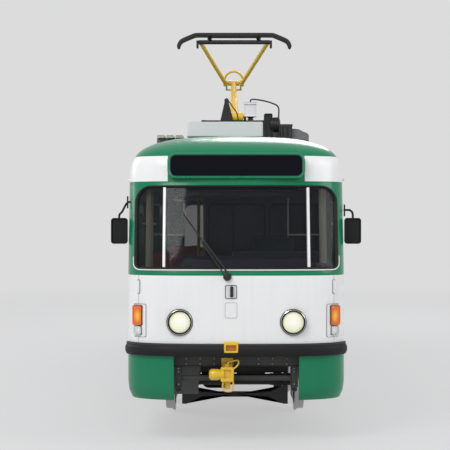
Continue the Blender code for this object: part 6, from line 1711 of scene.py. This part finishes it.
def build_driver_seat():
    """A sprung seat: pads with piped edges on pressed pans, carried by a column with a rubber bellows."""
    x, y, base = DRIVER_X, DRIVER_Y, FLOOR_TOP + SEAT
    lying = lambda u, v, w: (x + u, y - 0.02 + v, 1.338 + w)
    lean = radians(3.0)
    standing = lambda u, v, w: (x + u, y + 0.205 + v * sin(lean) - w * cos(lean), 1.7 + v * cos(lean) + w * sin(lean))
    cloth = fabric("driver_seat_cloth", (0.035, 0.115, 0.098), 0.0022)
    for name, half, rest, crown, channels, place in (
            ("driver_cushion", (0.236, 0.236), 0.03, 0.054, (-0.52, 0.52), lying),
            ("driver_backrest", (0.226, 0.335), 0.024, 0.044, (-0.5, 0.5), standing)):
        pad = piece(name, [cushion(half, rest, crown, channels, place)], cloth, slot="seat_fabric",
                    replaces=("driver_seat",) if name == "driver_cushion" else (), angle=70)
        piece(f"{name}_piping", [welt(half, place)], BLACK, slot="seat_fabric")
    pan = slab(rounded((x - 0.205, -(y + 0.185)), (x + 0.205, -(y - 0.225)), 0.05, 5), 1.296, 1.31, 0.005,
               lambda u, v, w: np.stack(np.broadcast_arrays(u, -v, w), -1))
    column = turned(((0, 0), (0.2, 0), (0.198, 0.01), (0.085, 0.022), (0.06, 0.04), (0.06, 0.12), (0.04, 0.13),
                     (0.04, 0.396), (0, 0.396)), (x, y, base), UP, 40)
    bellows = [(0.052, 0.12)] + [(0.088 if i % 2 else 0.062, 0.14 + i * 0.0185) for i in range(12)] + [(0.052, 0.365)]
    boot = turned([(0.042, 0.12), *bellows[1:], (0.042, 0.365)], (x, y, base), UP, 40)
    spine = [block((x - 0.03, y + 0.19, 1.29), (x + 0.03, y + 0.206, 1.39), 0.005),
             bar((x + 0.235, y + 0.12, 1.33), (x + 0.255, y + 0.12, 1.33), 0.03, 24, edge=0.004)]
    piece("driver_seat_stand", [pan, column, *spine], DARK_STEEL)
    piece("driver_seat_boot", [boot], BLACK)


def build_floor():
    """Rubber mats and yellow nosings on the steps, and a yellow strip that ends the floor covering at each well."""
    mats, nosings = [], []
    reach = DOORWAY_WIDTH / 2
    for y in (bay * BAY for bay in DOOR_BAYS):
        for (low, high), z in zip(((-1.005, -0.705), (-0.662, -0.405)), STEP_TOPS):
            mats.append(block((low, y - reach + 0.012, z), (high, y + reach - 0.012, z + 0.003), 0.001, 1))
            for x in np.arange(low + 0.016, high - 0.01, 0.022):
                mats.append(block((x, y - reach + 0.02, z + 0.002), (x + 0.01, y + reach - 0.02, z + 0.005), 0.001, 1))
        for x, z in zip((-1.045, -0.7, -0.4), (*STEP_TOPS, FLOOR_TOP)):
            outline = ((x - 0.003, z - 0.022), (x, z - 0.022), (x, z), (x + 0.036, z), (x + 0.036, z + 0.003),
                       (x - 0.003, z + 0.003))
            nosings.append(slab(outline, -(y + reach - 0.003), -(y - reach + 0.003)))
    piece("step_mats", mats, BLACK)
    piece("step_nosings", nosings, YELLOW_PAINT)


for build in (build_seats, build_rails, build_cab, build_driver_seat, build_floor):
    build()
for name, look in (("floor", floor_covering()), ("cab_partition", PANEL_GREY)):
    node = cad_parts[name]
    node.data.materials.clear()
    node.data.materials.append(look)
